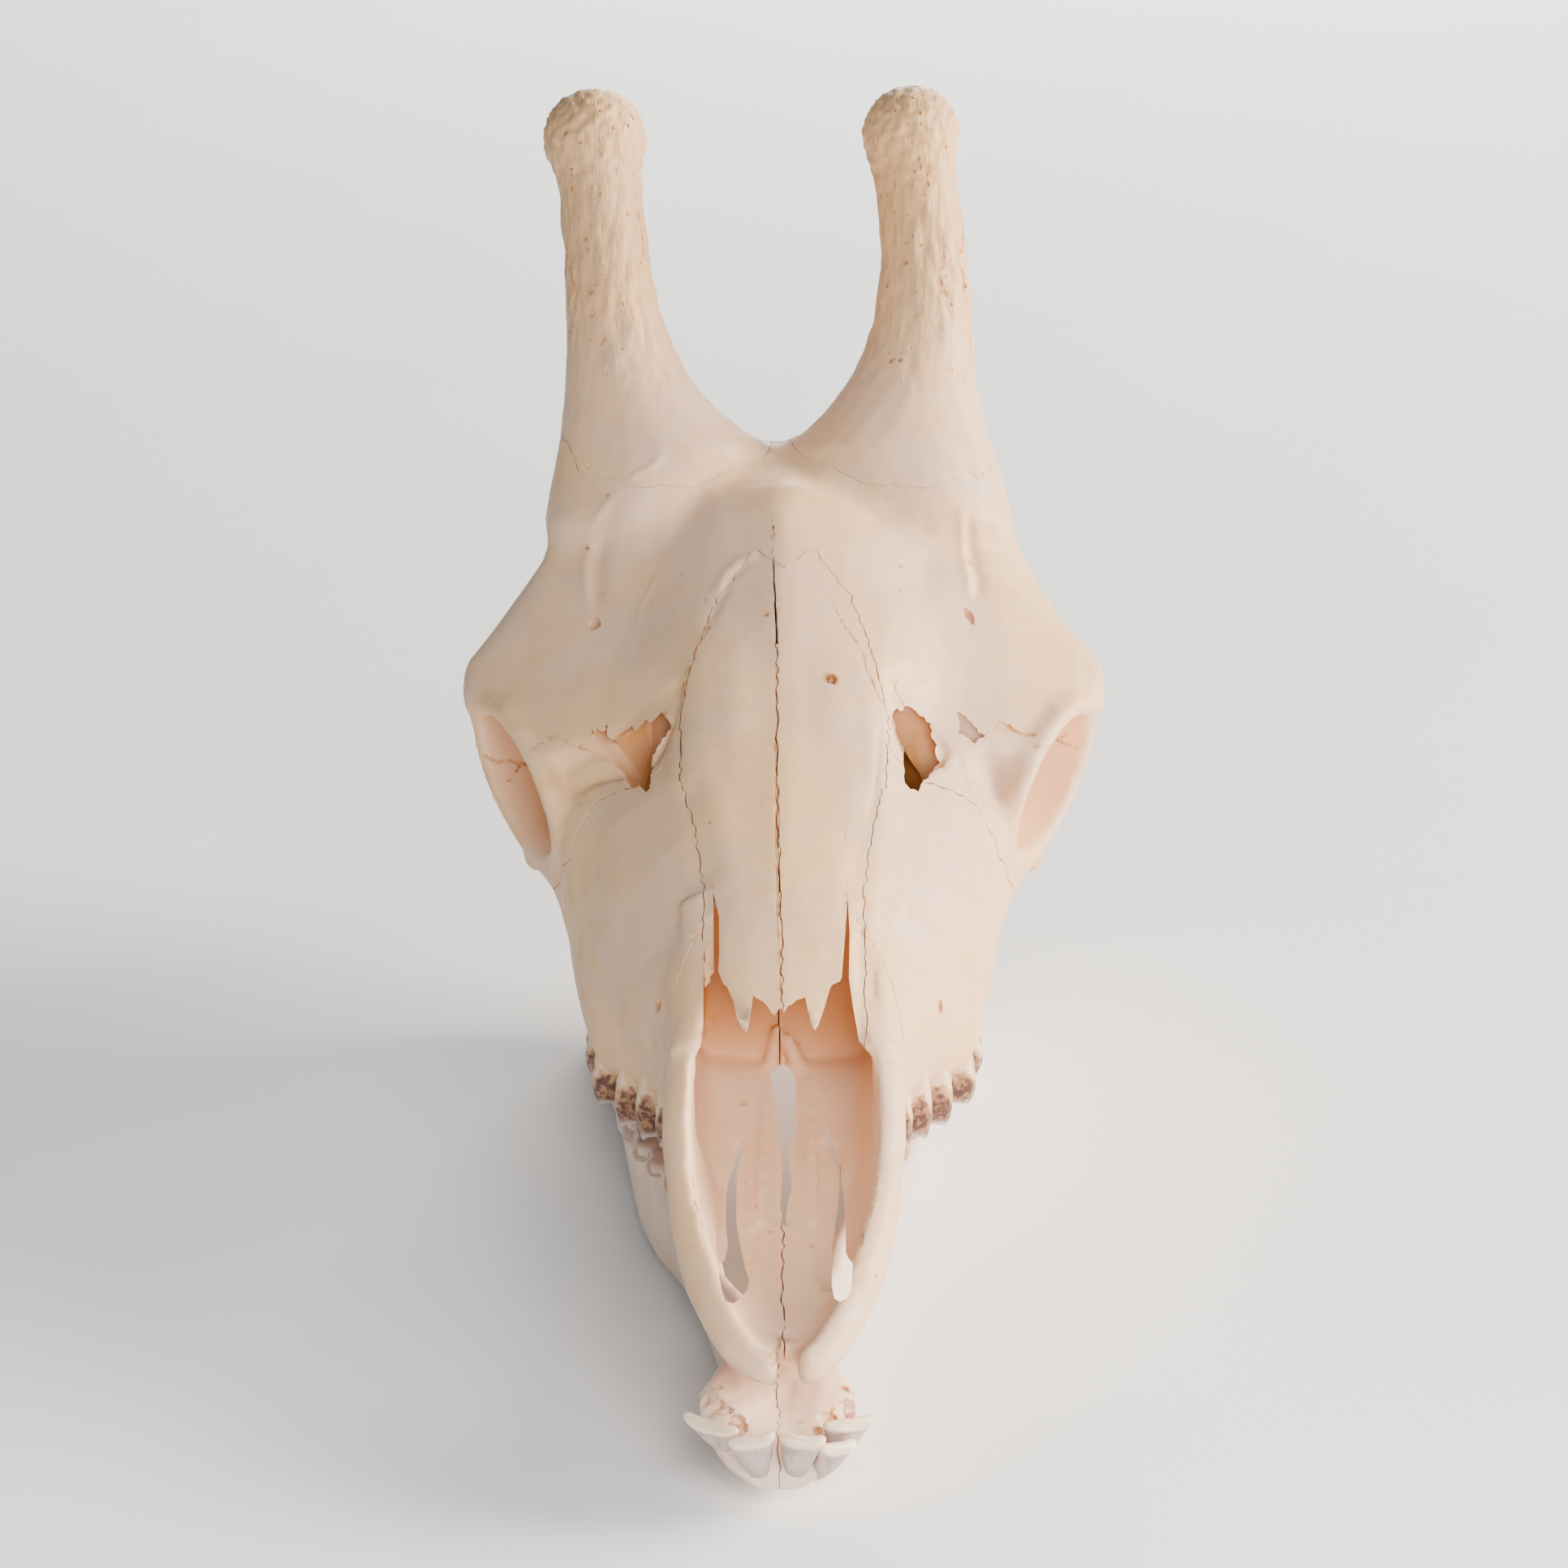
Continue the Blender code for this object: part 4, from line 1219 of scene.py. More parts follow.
def dress(made: bpy.types.Object, material: bpy.types.Material, node: str) -> None:
    """Lays a finished piece on the floor, gives it its finish and ties it to the frame.

    Args:
        made: The piece, in the skull's own frame.
        material: Its finish.
        node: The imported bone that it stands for.
    """
    made.data.transform(REST.matrix())
    keep_inside(made)
    made.data.materials.clear()
    made.data.materials.append(material)
    made.data.polygons.foreach_set("use_smooth", [True] * len(made.data.polygons))
    made.data.set_sharp_from_angle(angle=SHARP_ANGLE)
    made.data.update()
    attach(made, "root")
    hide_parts(node)
    LOG.info("%s: %d faces", made.name, len(made.data.polygons))


@dataclass
class UpperSkull(BoneSkin):
    """The upper skull: braincase, horns, face and upper jaw."""

    nodes: tuple[str, ...] = (
        "cranium", "ossicone_right", "ossicone_left", "nasal_right", "nasal_left", "maxilla_right",
        "maxilla_left", "premaxilla_right", "premaxilla_left",
    )
    spots: dict[str, Point] = field(default_factory=lambda: {
        "cranium": (0, 520, 172), "ossicone_right": (-86, 520, 342), "ossicone_left": (57, 520, 341),
        "nasal_right": (-20, 250, 118), "nasal_left": (20, 250, 118), "maxilla_right": (-90, 262, 30),
        "maxilla_left": (90, 262, 30), "premaxilla_right": (-46, 100, 30), "premaxilla_left": (46, 100, 30),
    })
    voxel: float = 1.6
    smooth: int = 6
    tooth_level: float = -8.5
    horn_root: Point = (0.0, 448.0, 195.0)
    horn_knob: Point = (0.0, 520.0, 320.0)
    sky: float = 260.0
    jitter: Jitter = field(default_factory=lambda: Jitter(7))

    def trim(self, bm: bmesh.types.BMesh) -> None:
        """Cuts off the plain crowns below the tooth sockets.

        Args:
            bm: The joined bones.
        """
        crowns = [item for item in (*bm.verts, *bm.edges, *bm.faces) if self.is_molar(item)]
        saw_off(bm, crowns, (0, 0, self.tooth_level), (0, 0, -1))

    def is_molar(self, item: object) -> bool:
        """Whether a piece of the mesh is in the row of cheek teeth."""
        spots = [item.co] if isinstance(item, bmesh.types.BMVert) else [v.co for v in item.verts]
        return all(170 < co.y < 330 and abs(co.x) > 28 for co in spots)

    def horn_axis(self) -> Vector:
        """The direction of both horns, seen from the side."""
        return (Vector(self.horn_knob) - Vector(self.horn_root)).normalized()

    def horn_height(self, points: np.ndarray) -> np.ndarray:
        """Height of points along the horns above their root."""
        return (points - np.array(self.horn_root)) @ np.array(self.horn_axis())

    def fillers(self) -> list[bpy.types.Object]:
        """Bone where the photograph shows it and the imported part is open: nasal tips, palate and face."""
        made = []
        for side in Side:
            made.append(slab("face", grown(FACE_HOLE[side], 3.0), face_plane(side), 0.0, 8.0))
            for out, radius in ((0.0, 3.7), (3.6, 4.2), (6.6, 3.6)):
                path = [Vector(p) + Vector((out * side.value, 0, -0.5 * out)) for p in NOSE_RIM[side]]
                made.append(tube("rim", path, [radius] * len(path)))
        made.append(bar("nasal_front", [(y, [(x, z - 0.0062 * x * x) for x in (-29, -15, 0, 15, 29)], 4.4)
                                        for y, z in NASAL_FRONT]))
        made.append(bar("palate", [(y, [(x, z) for x in (-half, -half / 2, 0, half / 2, half)], 4.6)
                                   for y, z, half in PALATE]))
        made.append(prism("nose_back", NOSE_BACK, -34.5, 34.5, Axis.X))
        for points in PALATE_RODS:
            path = [CAMERA.on_level(pixel, level) for pixel, level, _ in points]
            made.append(tube("rod", path, [radius for _, _, radius in points]))
        return made

    def build(self) -> None:
        """Builds every bone of the upper skull."""
        skin, sculptor = self.start()
        self.shape(sculptor)
        cracks, pits = self.crack_tools(CRACKS), self.pit_tools((*PITS, *self.horn_pits()))
        sculptor.write()
        walls = self.seams()
        cut_away(skin, self.openings() + walls + cracks + pits)
        for name, made in self.part(skin).items():
            lighten(made)
            self.paint(made)
            dress(made, BoneFinish().material(name), name)

    def horn_pits(self) -> list[Pit]:
        """Small pores scattered over the horns, thickest on their knobs."""
        draw = self.jitter.draw
        pits = []
        for left, right, top, low in HORN_PIT_FIELDS:
            for _ in range(HORN_PITS_EACH):
                pixel = (draw.uniform(left, right), draw.uniform(top, low))
                size = draw.uniform(0.45, 1.0)
                pits.append(Pit(pixel, (size, size * draw.uniform(1.0, 1.9), size), stain=draw.uniform(0.2, 0.7),
                                reach=0.7, rough=0.4))
        return pits

    def shape(self, sculptor: Sculptor) -> None:
        """Models the soft relief of the bone.

        Args:
            sculptor: The skin's points.
        """
        height = self.horn_height(sculptor.points)
        axis = self.horn_axis()
        horn = soft_step(height, 5.0, 70.0)
        knob = soft_step(height, 112.0, 130.0)
        # Fibres along the horns, beads on their knobs and gentle waves all over
        sculptor.ripple(horn * (1 - knob), 3.2, 1.1, axis, 4.0)
        sculptor.ripple(horn * (1 - knob), 6.5, 1.0, axis, 5.0, sharp=1.5)
        sculptor.ripple(knob, 3.6, 1.4, axis, 1.0)
        sculptor.ripple(np.ones(len(height)), 26.0, 0.7, Vector((0, 1, 0.4)), 1.6)
        self.press_furrows(sculptor, FURROWS)
        for centre, radii, lift in MOUNDS:
            sculptor.swell(centre, radii, lift)

    def openings(self) -> list[bpy.types.Object]:
        """Cutters for the torn openings of the face, the nasal tips and the slits of the palate."""
        tools = []
        for side in Side:
            tools.append(slab("hollow", FACE_HOLLOW[side], face_plane(side), -2.2, 34.0))
        for name, centre, reach, pixels in TORN_OPENINGS:
            depth = CAMERA.depth(centre)
            torn = self.jitter.along(pixels + pixels[:1], 5.0, 1.6)[:-1]
            tools.append(sight_prism(name, torn, depth - reach, depth + reach))
        near, far = CAMERA.depth((0, 128, 74)) - 12, CAMERA.depth((0, 215, 105)) + 11
        tools.append(sight_prism("nasal_tips", NASAL_TIPS, near, far))
        for name, pixels in PALATE_SLITS.items():
            tools.append(sight_prism(name, pixels, CAMERA.depth((0, 20, -4)), CAMERA.depth((0, 232, 4))))
        return tools

    def seams(self) -> list[bpy.types.Object]:
        """Walls that part the bones of the upper skull."""
        walls = [seam.wall(self.jitter) for seam in MIDDLE_SEAMS]
        for y in range(*MIDDLE_STAIN):
            spot = self.tree.ray_cast(Vector((-3.0, y, self.sky)), Vector((0, 0, -1)))[0]
            if spot is not None and spot.z > 60:
                self.stains.append((spot, 0.35 + 0.35 * noise.noise(Vector((0, y / 9, 0))), 1.3))
        for side in Side:
            walls += [seam.wall(self.jitter) for seam in side_seams(side)]
            walls.append(self.nasal_wall(side))
            walls.append(self.horn_cup(side))
        return walls

    def nasal_wall(self, side: Side) -> bpy.types.Object:
        """The wall along the side and round the back of one nasal bone, down to its underside.

        Args:
            side: Which nasal bone.

        Returns:
            The wall.
        """
        run = self.jitter.along([(x * side.value, y) for x, y in NASAL_EDGE], 2.4, 0.7)
        for (x, y), (x1, y1) in zip(run, run[1:]):
            if y > 212 or y1 > 212:
                spot = self.tree.ray_cast(Vector((x, y, self.sky)), Vector((0, 0, -1)))[0]
                if spot is not None:
                    self.stains.append((spot, self.jitter.draw.uniform(0.1, 0.55), 1.5))
        bm = bmesh.new()
        verts = [bm.verts.new((x, y, nasal_floor(y) - 2.0)) for x, y in run]
        edges = [bm.edges.new(pair) for pair in zip(verts, verts[1:])]
        for vert in only(bmesh.types.BMVert, bmesh.ops.extrude_edge_only(bm, edges=edges)["geom"]):
            vert.co.z = self.sky
        return thicken(as_object("nasal_wall", bm), 0.45)

    def horn_cup(self, side: Side) -> bpy.types.Object:
        """The cup-shaped wall under one horn, open above.

        Args:
            side: Which horn.

        Returns:
            The wall.
        """
        axis = self.horn_axis()
        across = axis.cross(Vector((1, 0, 0))).normalized()
        deep_x, top_x = HORN_CUP_X[side]
        wide, deep = HORN_CUP_SIZE
        bm = bmesh.new()
        rings = []
        for height, share in HORN_CUP:
            middle = Vector(self.horn_root) + axis * height
            middle.x = deep_x + (top_x - deep_x) * min(1.0, share * 1.05)
            ring = []
            for k in range(HORN_CUP_SIDES):
                turn = 2 * math.pi * k / HORN_CUP_SIDES
                frill = 1.0 + 0.03 * math.sin(turn * 9 + side.value) + self.jitter.draw.uniform(-0.02, 0.02)
                ring.append(middle + Vector((1, 0, 0)) * wide * share * frill * math.cos(turn)
                            + across * deep * share * frill * math.sin(turn))
            rings.append(ring)
        first = [bm.verts.new(p) for p in rings[0]]
        bm.faces.new(first)
        edges = [bm.edges.get((a, b)) for a, b in zip(first, first[1:] + first[:1])]
        for ring in rings[1:]:
            fresh = bmesh.ops.extrude_edge_only(bm, edges=edges)["geom"]
            edges = only(bmesh.types.BMEdge, fresh)
            for vert, place in zip(only(bmesh.types.BMVert, fresh), ring):
                vert.co = place
        return thicken(as_object("horn_cup", bm), 0.28)

    def paint(self, made: bpy.types.Object) -> None:
        """Keeps on a piece where it is rugose, where painted glow and painted shade lie inside the nose, eye sockets
        and torn openings, and where it is stained.

        Args:
            made: The piece.
        """
        sculptor = Sculptor(made)
        points, normals = sculptor.points, sculptor.normals
        height = self.horn_height(points)
        sculptor.mark("rugose", soft_step(height, -5.0, 95.0) * (points[:, 2] > 190))
        # Painted glow and painted shade inside the nose, eye sockets and torn openings
        peach_and_painted_glow, deep = self.painted_glow_and_shade(points, normals)
        sculptor.mark("peach_and_painted_glow", peach_and_painted_glow)
        sculptor.mark("deep", deep)
        self.keep_stains(sculptor)

    def painted_glow_and_shade(self, points: np.ndarray, normals: np.ndarray) -> tuple[np.ndarray, np.ndarray]:
        """How much painted glow each point takes, inside the nose, the eye sockets and the torn openings, and how much
        painted shade it takes deep inside.

        Args:
            points: Places of the points.
            normals: Their directions.

        Returns:
            Two numbers from 0 to 1 for each.
        """
        inner = self.inside_nose(points, normals)
        # Peach painted glow on the nose's inner walls and its back wall, for light that shines through the bone and
        # bounces inside
        peach_and_painted_glow = inner * 0.8
        # Painted shade, darker orange towards the back of the nose
        deep = inner * soft_step(points[:, 1] + points[:, 2] * 0.5, 200, 240)
        for side in Side:
            # Painted glow of light bouncing in the hollow eye sockets
            peach_and_painted_glow = np.maximum(peach_and_painted_glow, self.inside_socket(points, normals, side) * 0.6)
            # Painted glow just under the thin plates of the torn openings, painted shade deeper in them
            sunk, dark = self.under_face(points, side)
            peach_and_painted_glow = np.maximum(peach_and_painted_glow, sunk * 0.9)
            deep = np.maximum(deep, dark)
        return peach_and_painted_glow, deep

    def inside_nose(self, points: np.ndarray, normals: np.ndarray) -> np.ndarray:
        """How surely each point lies on a wall of the nose, from 0 to 1."""
        y = points[:, 1]
        to_middle = np.stack([np.zeros(len(y)), y, np.interp(y, *NOSE_MIDDLE)], axis=1) - points
        to_middle /= np.maximum(np.linalg.norm(to_middle, axis=1), 1e-6)[:, None]
        facing = np.sum(to_middle * normals, axis=1)
        in_nose = soft_step(y, 25, 110) * (1 - soft_step(y, 352, 362)) * (np.abs(points[:, 0]) < 75)
        back = soft_step(y, 205, 211) * (1 - soft_step(y, 240, 250)) * soft_step(-normals[:, 1], 0.2, 0.6)
        back = back * (np.abs(points[:, 0]) < 36) * (points[:, 2] > 8) * (points[:, 2] < 80)
        return np.maximum(soft_step(facing, 0.0, 0.5) * in_nose, back)

    def inside_socket(self, points: np.ndarray, normals: np.ndarray, side: Side) -> np.ndarray:
        """How surely each point lies in one eye socket, from 0 to 1."""
        toward = np.array(EYE_CENTRE) * (side.value, 1, 1) - points
        gap = np.linalg.norm(toward, axis=1)
        facing = np.sum(toward * normals, axis=1) / np.maximum(gap, 1e-6)
        return soft_step(facing, 0.2, 0.7) * (1 - soft_step(gap, 48, 60))

    def under_face(self, points: np.ndarray, side: Side) -> tuple[np.ndarray, np.ndarray]:
        """How far each point is sunk in the torn opening of one side.

        Args:
            points: Places of the points.
            side: Which side.

        Returns:
            How peach and how dark it is there, from 0 to 1.
        """
        outline = np.array(grown(FACE_HOLE[side], 4.0))
        low, high = outline.min(axis=0), outline.max(axis=0)
        over = np.all((points[:, :2] > low) & (points[:, :2] < high), axis=1)
        under = face_plane(side)(points[:, 0], points[:, 1]) - points[:, 2]
        above_floor = 1 - soft_step(under, 36, 44)
        near_nose = 0.3 + 0.7 * (1 - soft_step(np.abs(points[:, 0]), 50, 80))
        return (over * soft_step(under, 1.6, 5.0) * above_floor,
                over * soft_step(under, 3.0, 12.0) * above_floor * near_nose)


def thicken(made: bpy.types.Object, width: float) -> bpy.types.Object:
    """Gives an open sheet a thickness, half to each side.

    Args:
        made: The sheet.
        width: Its thickness.

    Returns:
        The same object, now closed.
    """
    step = made.modifiers.new("thicken", "SOLIDIFY")
    step.thickness = width
    step.offset = 0.0
    return bake(made)


def slab(name: str, outline: Sequence[Pixel], surface: Surface, top: float, thick: float) -> bpy.types.Object:
    """A plate under a sloping surface.

    Args:
        name: Name of the object.
        outline: Its outline seen from above.
        surface: Height of the surface at x and y.
        top: How far its upper face lies above the surface.
        thick: Its thickness.

    Returns:
        The closed plate.
    """
    made = prism(name, outline, 0.0, 1.0, Axis.Z)
    for vert in made.data.vertices:
        x, y, share = vert.co
        vert.co.z = float(surface(x, y)) + top - (1.0 - share) * thick
    return made


def bar(name: str, sections: Sequence[tuple[float, Sequence[Pixel], float]]) -> bpy.types.Object:
    """A flat bar through sections along y.

    Args:
        name: Name of the object.
        sections: For each its y, its upper line as x and z, and its thickness.

    Returns:
        The closed bar.
    """
    rings = []
    for y, line, thick in sections:
        over = [Vector((x, y, z)) for x, z in line]
        rings.append(over + [p - Vector((0, 0, thick)) for p in over[::-1]])
    bm = marked_mesh()
    loft(bm, rings, [(0.0, 0.0)] * len(rings))
    return as_object(name, bm)


def grown(outline: Sequence[Pixel], reach: float) -> list[Pixel]:
    """An outline moved outwards from its middle."""
    middle = Vector((sum(a for a, _ in outline), sum(b for _, b in outline))) / len(outline)
    return [tuple(Vector(p) + (Vector(p) - middle).normalized() * reach) for p in outline]


def face_plane(side: Side) -> Surface:
    """Height of the face beside the nose, the lower of two planes, as a function of x and y.

    Args:
        side: Which side of the face.

    Returns:
        The function; it takes numbers or arrays.
    """

    def height(x: float, y: float) -> float:
        across = x * side.value
        steep, brow = (level + rise_x * (across - x0) + rise_y * (y - y0)
                       for level, x0, y0, rise_x, rise_y in FACE_PLANES)
        return np.minimum(steep, brow + BROW_BEND * np.maximum(across - BROW_EDGE, 0.0))

    return height


def nasal_floor(y: float) -> float:
    """Height of the underside seam of the nasal bones."""
    ys, zs = zip(*NASAL_FLOOR)
    return float(np.interp(y, ys, zs))


EYE_CENTRE = (112.0, 350.0, 84.0)
# Middle of the nose: y, and its height there
NOSE_MIDDLE = ((0, 150, 300, 350), (30, 48, 85, 95))

# Seams: nasal edge as (x, y) seen from above, the others as (y, z) seen from the side
NASAL_EDGE = ((33, 118), (33, 212), (37, 242), (43.5, 270), (44.5, 300), (38, 330), (29, 355), (13, 373),
              (-0.5, 362))
NASAL_FLOOR = ((100, 30), (225, 82), (300, 107), (332, 126), (345, 140), (392, 170))
FACE_SEAM = ((290, 165), (286, 112), (298, 96), (290, 72), (304, 50), (331.5, 34), (331.5, -40))
TIP_SEAM_LOW = ((66, -30), (74, 4), (96, 20), (130, 38), (148, 50))
TIP_SEAM_HIGH = ((130, 38), (165, 62), (205, 96), (208, 116))
MIDDLE_SEAMS = (
    Seam(((-0.4, -40), (-0.4, 150), (-1.4, 212), (-3.0, 245), (-3.0, 300), (-3.3, 333)), Axis.Z, -60, 260, width=0.6,
         teeth=0.8, step=3.0),
    Seam(((-3.0, 324), (-3.6, 342)), Axis.Z, 136, 260, width=1.0, teeth=0.0, step=3.0),
    Seam(((-3.6, 338), (-4.6, 368.5)), Axis.Z, 136, 260, width=0.8, teeth=0.25, step=3.0),
    Seam(NASAL_FLOOR[1:], Axis.X, -45, 45, width=0.5, teeth=0.0),
    Seam(((331.5, -40), (331.5, 66)), Axis.X, -46, 46, width=0.6, teeth=0.8),
    Seam(((147, -40), (148, 30)), Axis.X, -20, 23.5, width=0.3, teeth=0.7),
)
# The cup under a horn: height above the horn's root and share of its width; width and depth; x deep down and above
HORN_CUP = ((-31, 0.04), (-30, 0.22), (-26, 0.48), (-19, 0.70), (-9, 0.87), (5, 0.97), (22, 1.0), (60, 1.25),
            (175, 1.6))
HORN_CUP_SIZE = (50.0, 52.0)
HORN_CUP_SIDES = 90
HORN_CUP_X = {Side.RIGHT: (-70, -52), Side.LEFT: (66, 50)}
# Fields of small pores as left, right, top and lower edge in pixels, knobs first, and pores in each
HORN_PIT_FIELDS = ((688, 792, 118, 250), (1078, 1180, 108, 250), (694, 785, 250, 460), (1084, 1196, 250, 460))
HORN_PITS_EACH = 26
# Where the middle suture is stained along y, and how far from the middle the bones meet in the palate
MIDDLE_STAIN = (150, 364)
PALATE_EDGE = {Side.RIGHT: -19.5, Side.LEFT: 23.0}


def side_seams(side: Side) -> list[Seam]:
    """Seams of the face on one side.

    Args:
        side: Which side.

    Returns:
        The seams.
    """
    s = side.value
    return [
        Seam(FACE_SEAM, Axis.X, *sorted((43.2 * s, 140 * s)), teeth=1.0),
        Seam(((44.5 * s, 298), (44.5 * s, 334)), Axis.Z, 24, 116, teeth=0.0),
        Seam(((44.5 * s, 329), (44.5 * s, 334)), Axis.Z, -40, 70, teeth=0.0),
        Seam(TIP_SEAM_LOW, Axis.X, *sorted((PALATE_EDGE[side] - 0.5 * s, 90 * s)), teeth=0.8),
        Seam(((PALATE_EDGE[side], 60), (PALATE_EDGE[side], 148.8)), Axis.Z, -40, 12, width=0.4, teeth=0.0),
        Seam(TIP_SEAM_HIGH, Axis.X, *sorted((28.5 * s, 90 * s)), teeth=0.8),
    ]


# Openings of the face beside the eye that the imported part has, as (x, y) seen from above
FACE_HOLE = {
    Side.RIGHT: ((-42, 324), (-43, 308), (-51, 296), (-60, 291), (-67, 299), (-77, 305), (-89, 313), (-98, 321),
                 (-90, 326), (-74, 327), (-60, 329)),
    Side.LEFT: ((42, 324), (43, 308), (51, 294), (58, 289), (63, 300), (69, 306), (76, 316), (66, 324), (54, 329)),
}
# Hollows cut under the plates that close them again
FACE_HOLLOW = {
    Side.RIGHT: ((-57, 326), (-56, 300), (-60, 290), (-67, 299), (-77, 305), (-89, 313), (-97, 321), (-90, 326),
                 (-74, 328)),
    Side.LEFT: ((52, 326), (51, 300), (54, 292), (59, 290), (64, 300), (70, 306), (76, 316), (66, 324), (56, 328)),
}
# The steep face and the slope of the brow: height at a place, the place (x, y), and the rise along x and y
FACE_PLANES = ((131.0, 50.0, 312.0, -1.031, 1.26), (145.6, 42.0, 324.0, -1.05, 0.45))
# Where the brow flattens towards the eye and by how much
BROW_EDGE, BROW_BEND = 68.0, 0.5
# Front of the nasal bones: y and height in the middle; palate: y, height and half width
NASAL_FRONT = ((134, 64.5), (142, 69), (150, 73.6), (165, 81), (180, 88.6))
PALATE = ((46, -5.2, 20), (85, -4.2, 25), (112, -2.2, 29), (132, -0.3, 31), (150, 2.7, 31), (178, 7.6, 31),
          (205, 15.4, 31), (232, 18.4, 31))
# Closing wall at the back of the nose as (y, z), and the inner rims beside the nasal tips
NOSE_BACK = ((212, 13), (212.5, 20), (215, 30), (219, 41), (224, 52), (227, 64), (229, 84), (250, 84), (250, 13))
NOSE_RIM = {
    Side.RIGHT: ((-33.3, 213, 94), (-32.9, 203.5, 88.3), (-32.1, 193, 83.4), (-31.3, 185, 79.2), (-30.8, 172, 73.8),
                 (-33.3, 162.5, 69), (-35.2, 154, 65.4), (-37, 143.6, 60.8)),
    Side.LEFT: ((30.3, 213, 94), (30.2, 203.5, 88.3), (30.1, 193, 83.4), (29.7, 185, 79.2), (27.8, 172, 73.8),
                (30.4, 162.5, 69), (31.9, 154, 65.4), (35.6, 143.6, 60.8)),
}
# Rods along the palate: pixel, height and radius
PALATE_RODS = (
    (((958, 1263), 34, 2.0), ((953, 1290), 23, 2.6), ((946, 1327), 13, 3.0), ((942, 1383), 7.2, 3.1),
     ((940, 1440), 3.0, 3.1), ((939, 1510), -2.0, 2.6)),
    (((969, 1277), 30, 2.4), ((977, 1296), 21.5, 3.0), ((989, 1327), 13, 3.4), ((997, 1383), 7.2, 3.4),
     ((1001, 1440), 3.0, 3.4), ((1003, 1510), -2.0, 2.6)),
)
NASAL_TIPS = (
    (879, 1100), (886, 1130), (886, 1180), (885, 1197), (891, 1212), (896, 1216), (904, 1234), (908, 1254),
    (914, 1266), (918, 1271), (921, 1270), (924, 1255), (926, 1240), (928, 1226), (932, 1230), (940, 1234),
    (946, 1240), (950, 1247), (954, 1251), (959, 1244), (962, 1242), (966, 1248), (971, 1239), (975, 1238),
    (982, 1232), (989, 1230), (992, 1228), (994, 1238), (998, 1255), (1001, 1264), (1004, 1269), (1008, 1264),
    (1014, 1247), (1019, 1230), (1023, 1217), (1026, 1213), (1035, 1209), (1037, 1204), (1039, 1180),
    (1043, 1130), (1044, 1100), (1047, 1150), (1046, 1205), (1051, 1240), (1060, 1290), (864, 1290), (874, 1240),
    (880, 1210), (879, 1150),
)
PALATE_SLITS = {
    "middle_slit": (
        (964, 1310), (955, 1317), (949, 1327), (951, 1338), (954, 1353), (957, 1368), (960, 1385), (962, 1416),
        (964, 1433), (967, 1446), (970, 1458), (970, 1469), (966, 1479), (963, 1490), (964, 1503), (967, 1511),
        (970, 1510), (968, 1500), (970, 1488), (972, 1475), (975, 1465), (976, 1454), (973, 1442), (972, 1429),
        (971, 1414), (972, 1408), (977, 1403), (980, 1397), (983, 1383), (979, 1378), (979, 1366), (980, 1351),
        (981, 1341), (979, 1327), (974, 1317), (968, 1312),
    ),
    "right_fissure": (
        (915, 1406), (911, 1414), (906, 1429), (901, 1446), (896, 1463), (894, 1484), (894, 1500), (895, 1517),
        (897, 1535), (893, 1552), (886, 1560), (886, 1572), (889, 1589), (894, 1603), (903, 1606), (913, 1600),
        (921, 1588), (923, 1578), (919, 1566), (915, 1549), (911, 1530), (908, 1511), (906, 1492), (906, 1475),
        (907, 1458), (909, 1442), (913, 1425), (916, 1410),
    ),
    "left_fissure": (
        (1017, 1393), (1018, 1404), (1023, 1416), (1028, 1429), (1031, 1437), (1034, 1450), (1034, 1465),
        (1033, 1484), (1031, 1498), (1029, 1511), (1028, 1526), (1025, 1538), (1025, 1564), (1025, 1585),
        (1028, 1600), (1035, 1604), (1044, 1599), (1049, 1589), (1051, 1557), (1045, 1550), (1042, 1543),
        (1042, 1521), (1041, 1500), (1040, 1471), (1037, 1458), (1035, 1442), (1033, 1431), (1031, 1425),
        (1028, 1416), (1023, 1404), (1019, 1393),
    ),
}
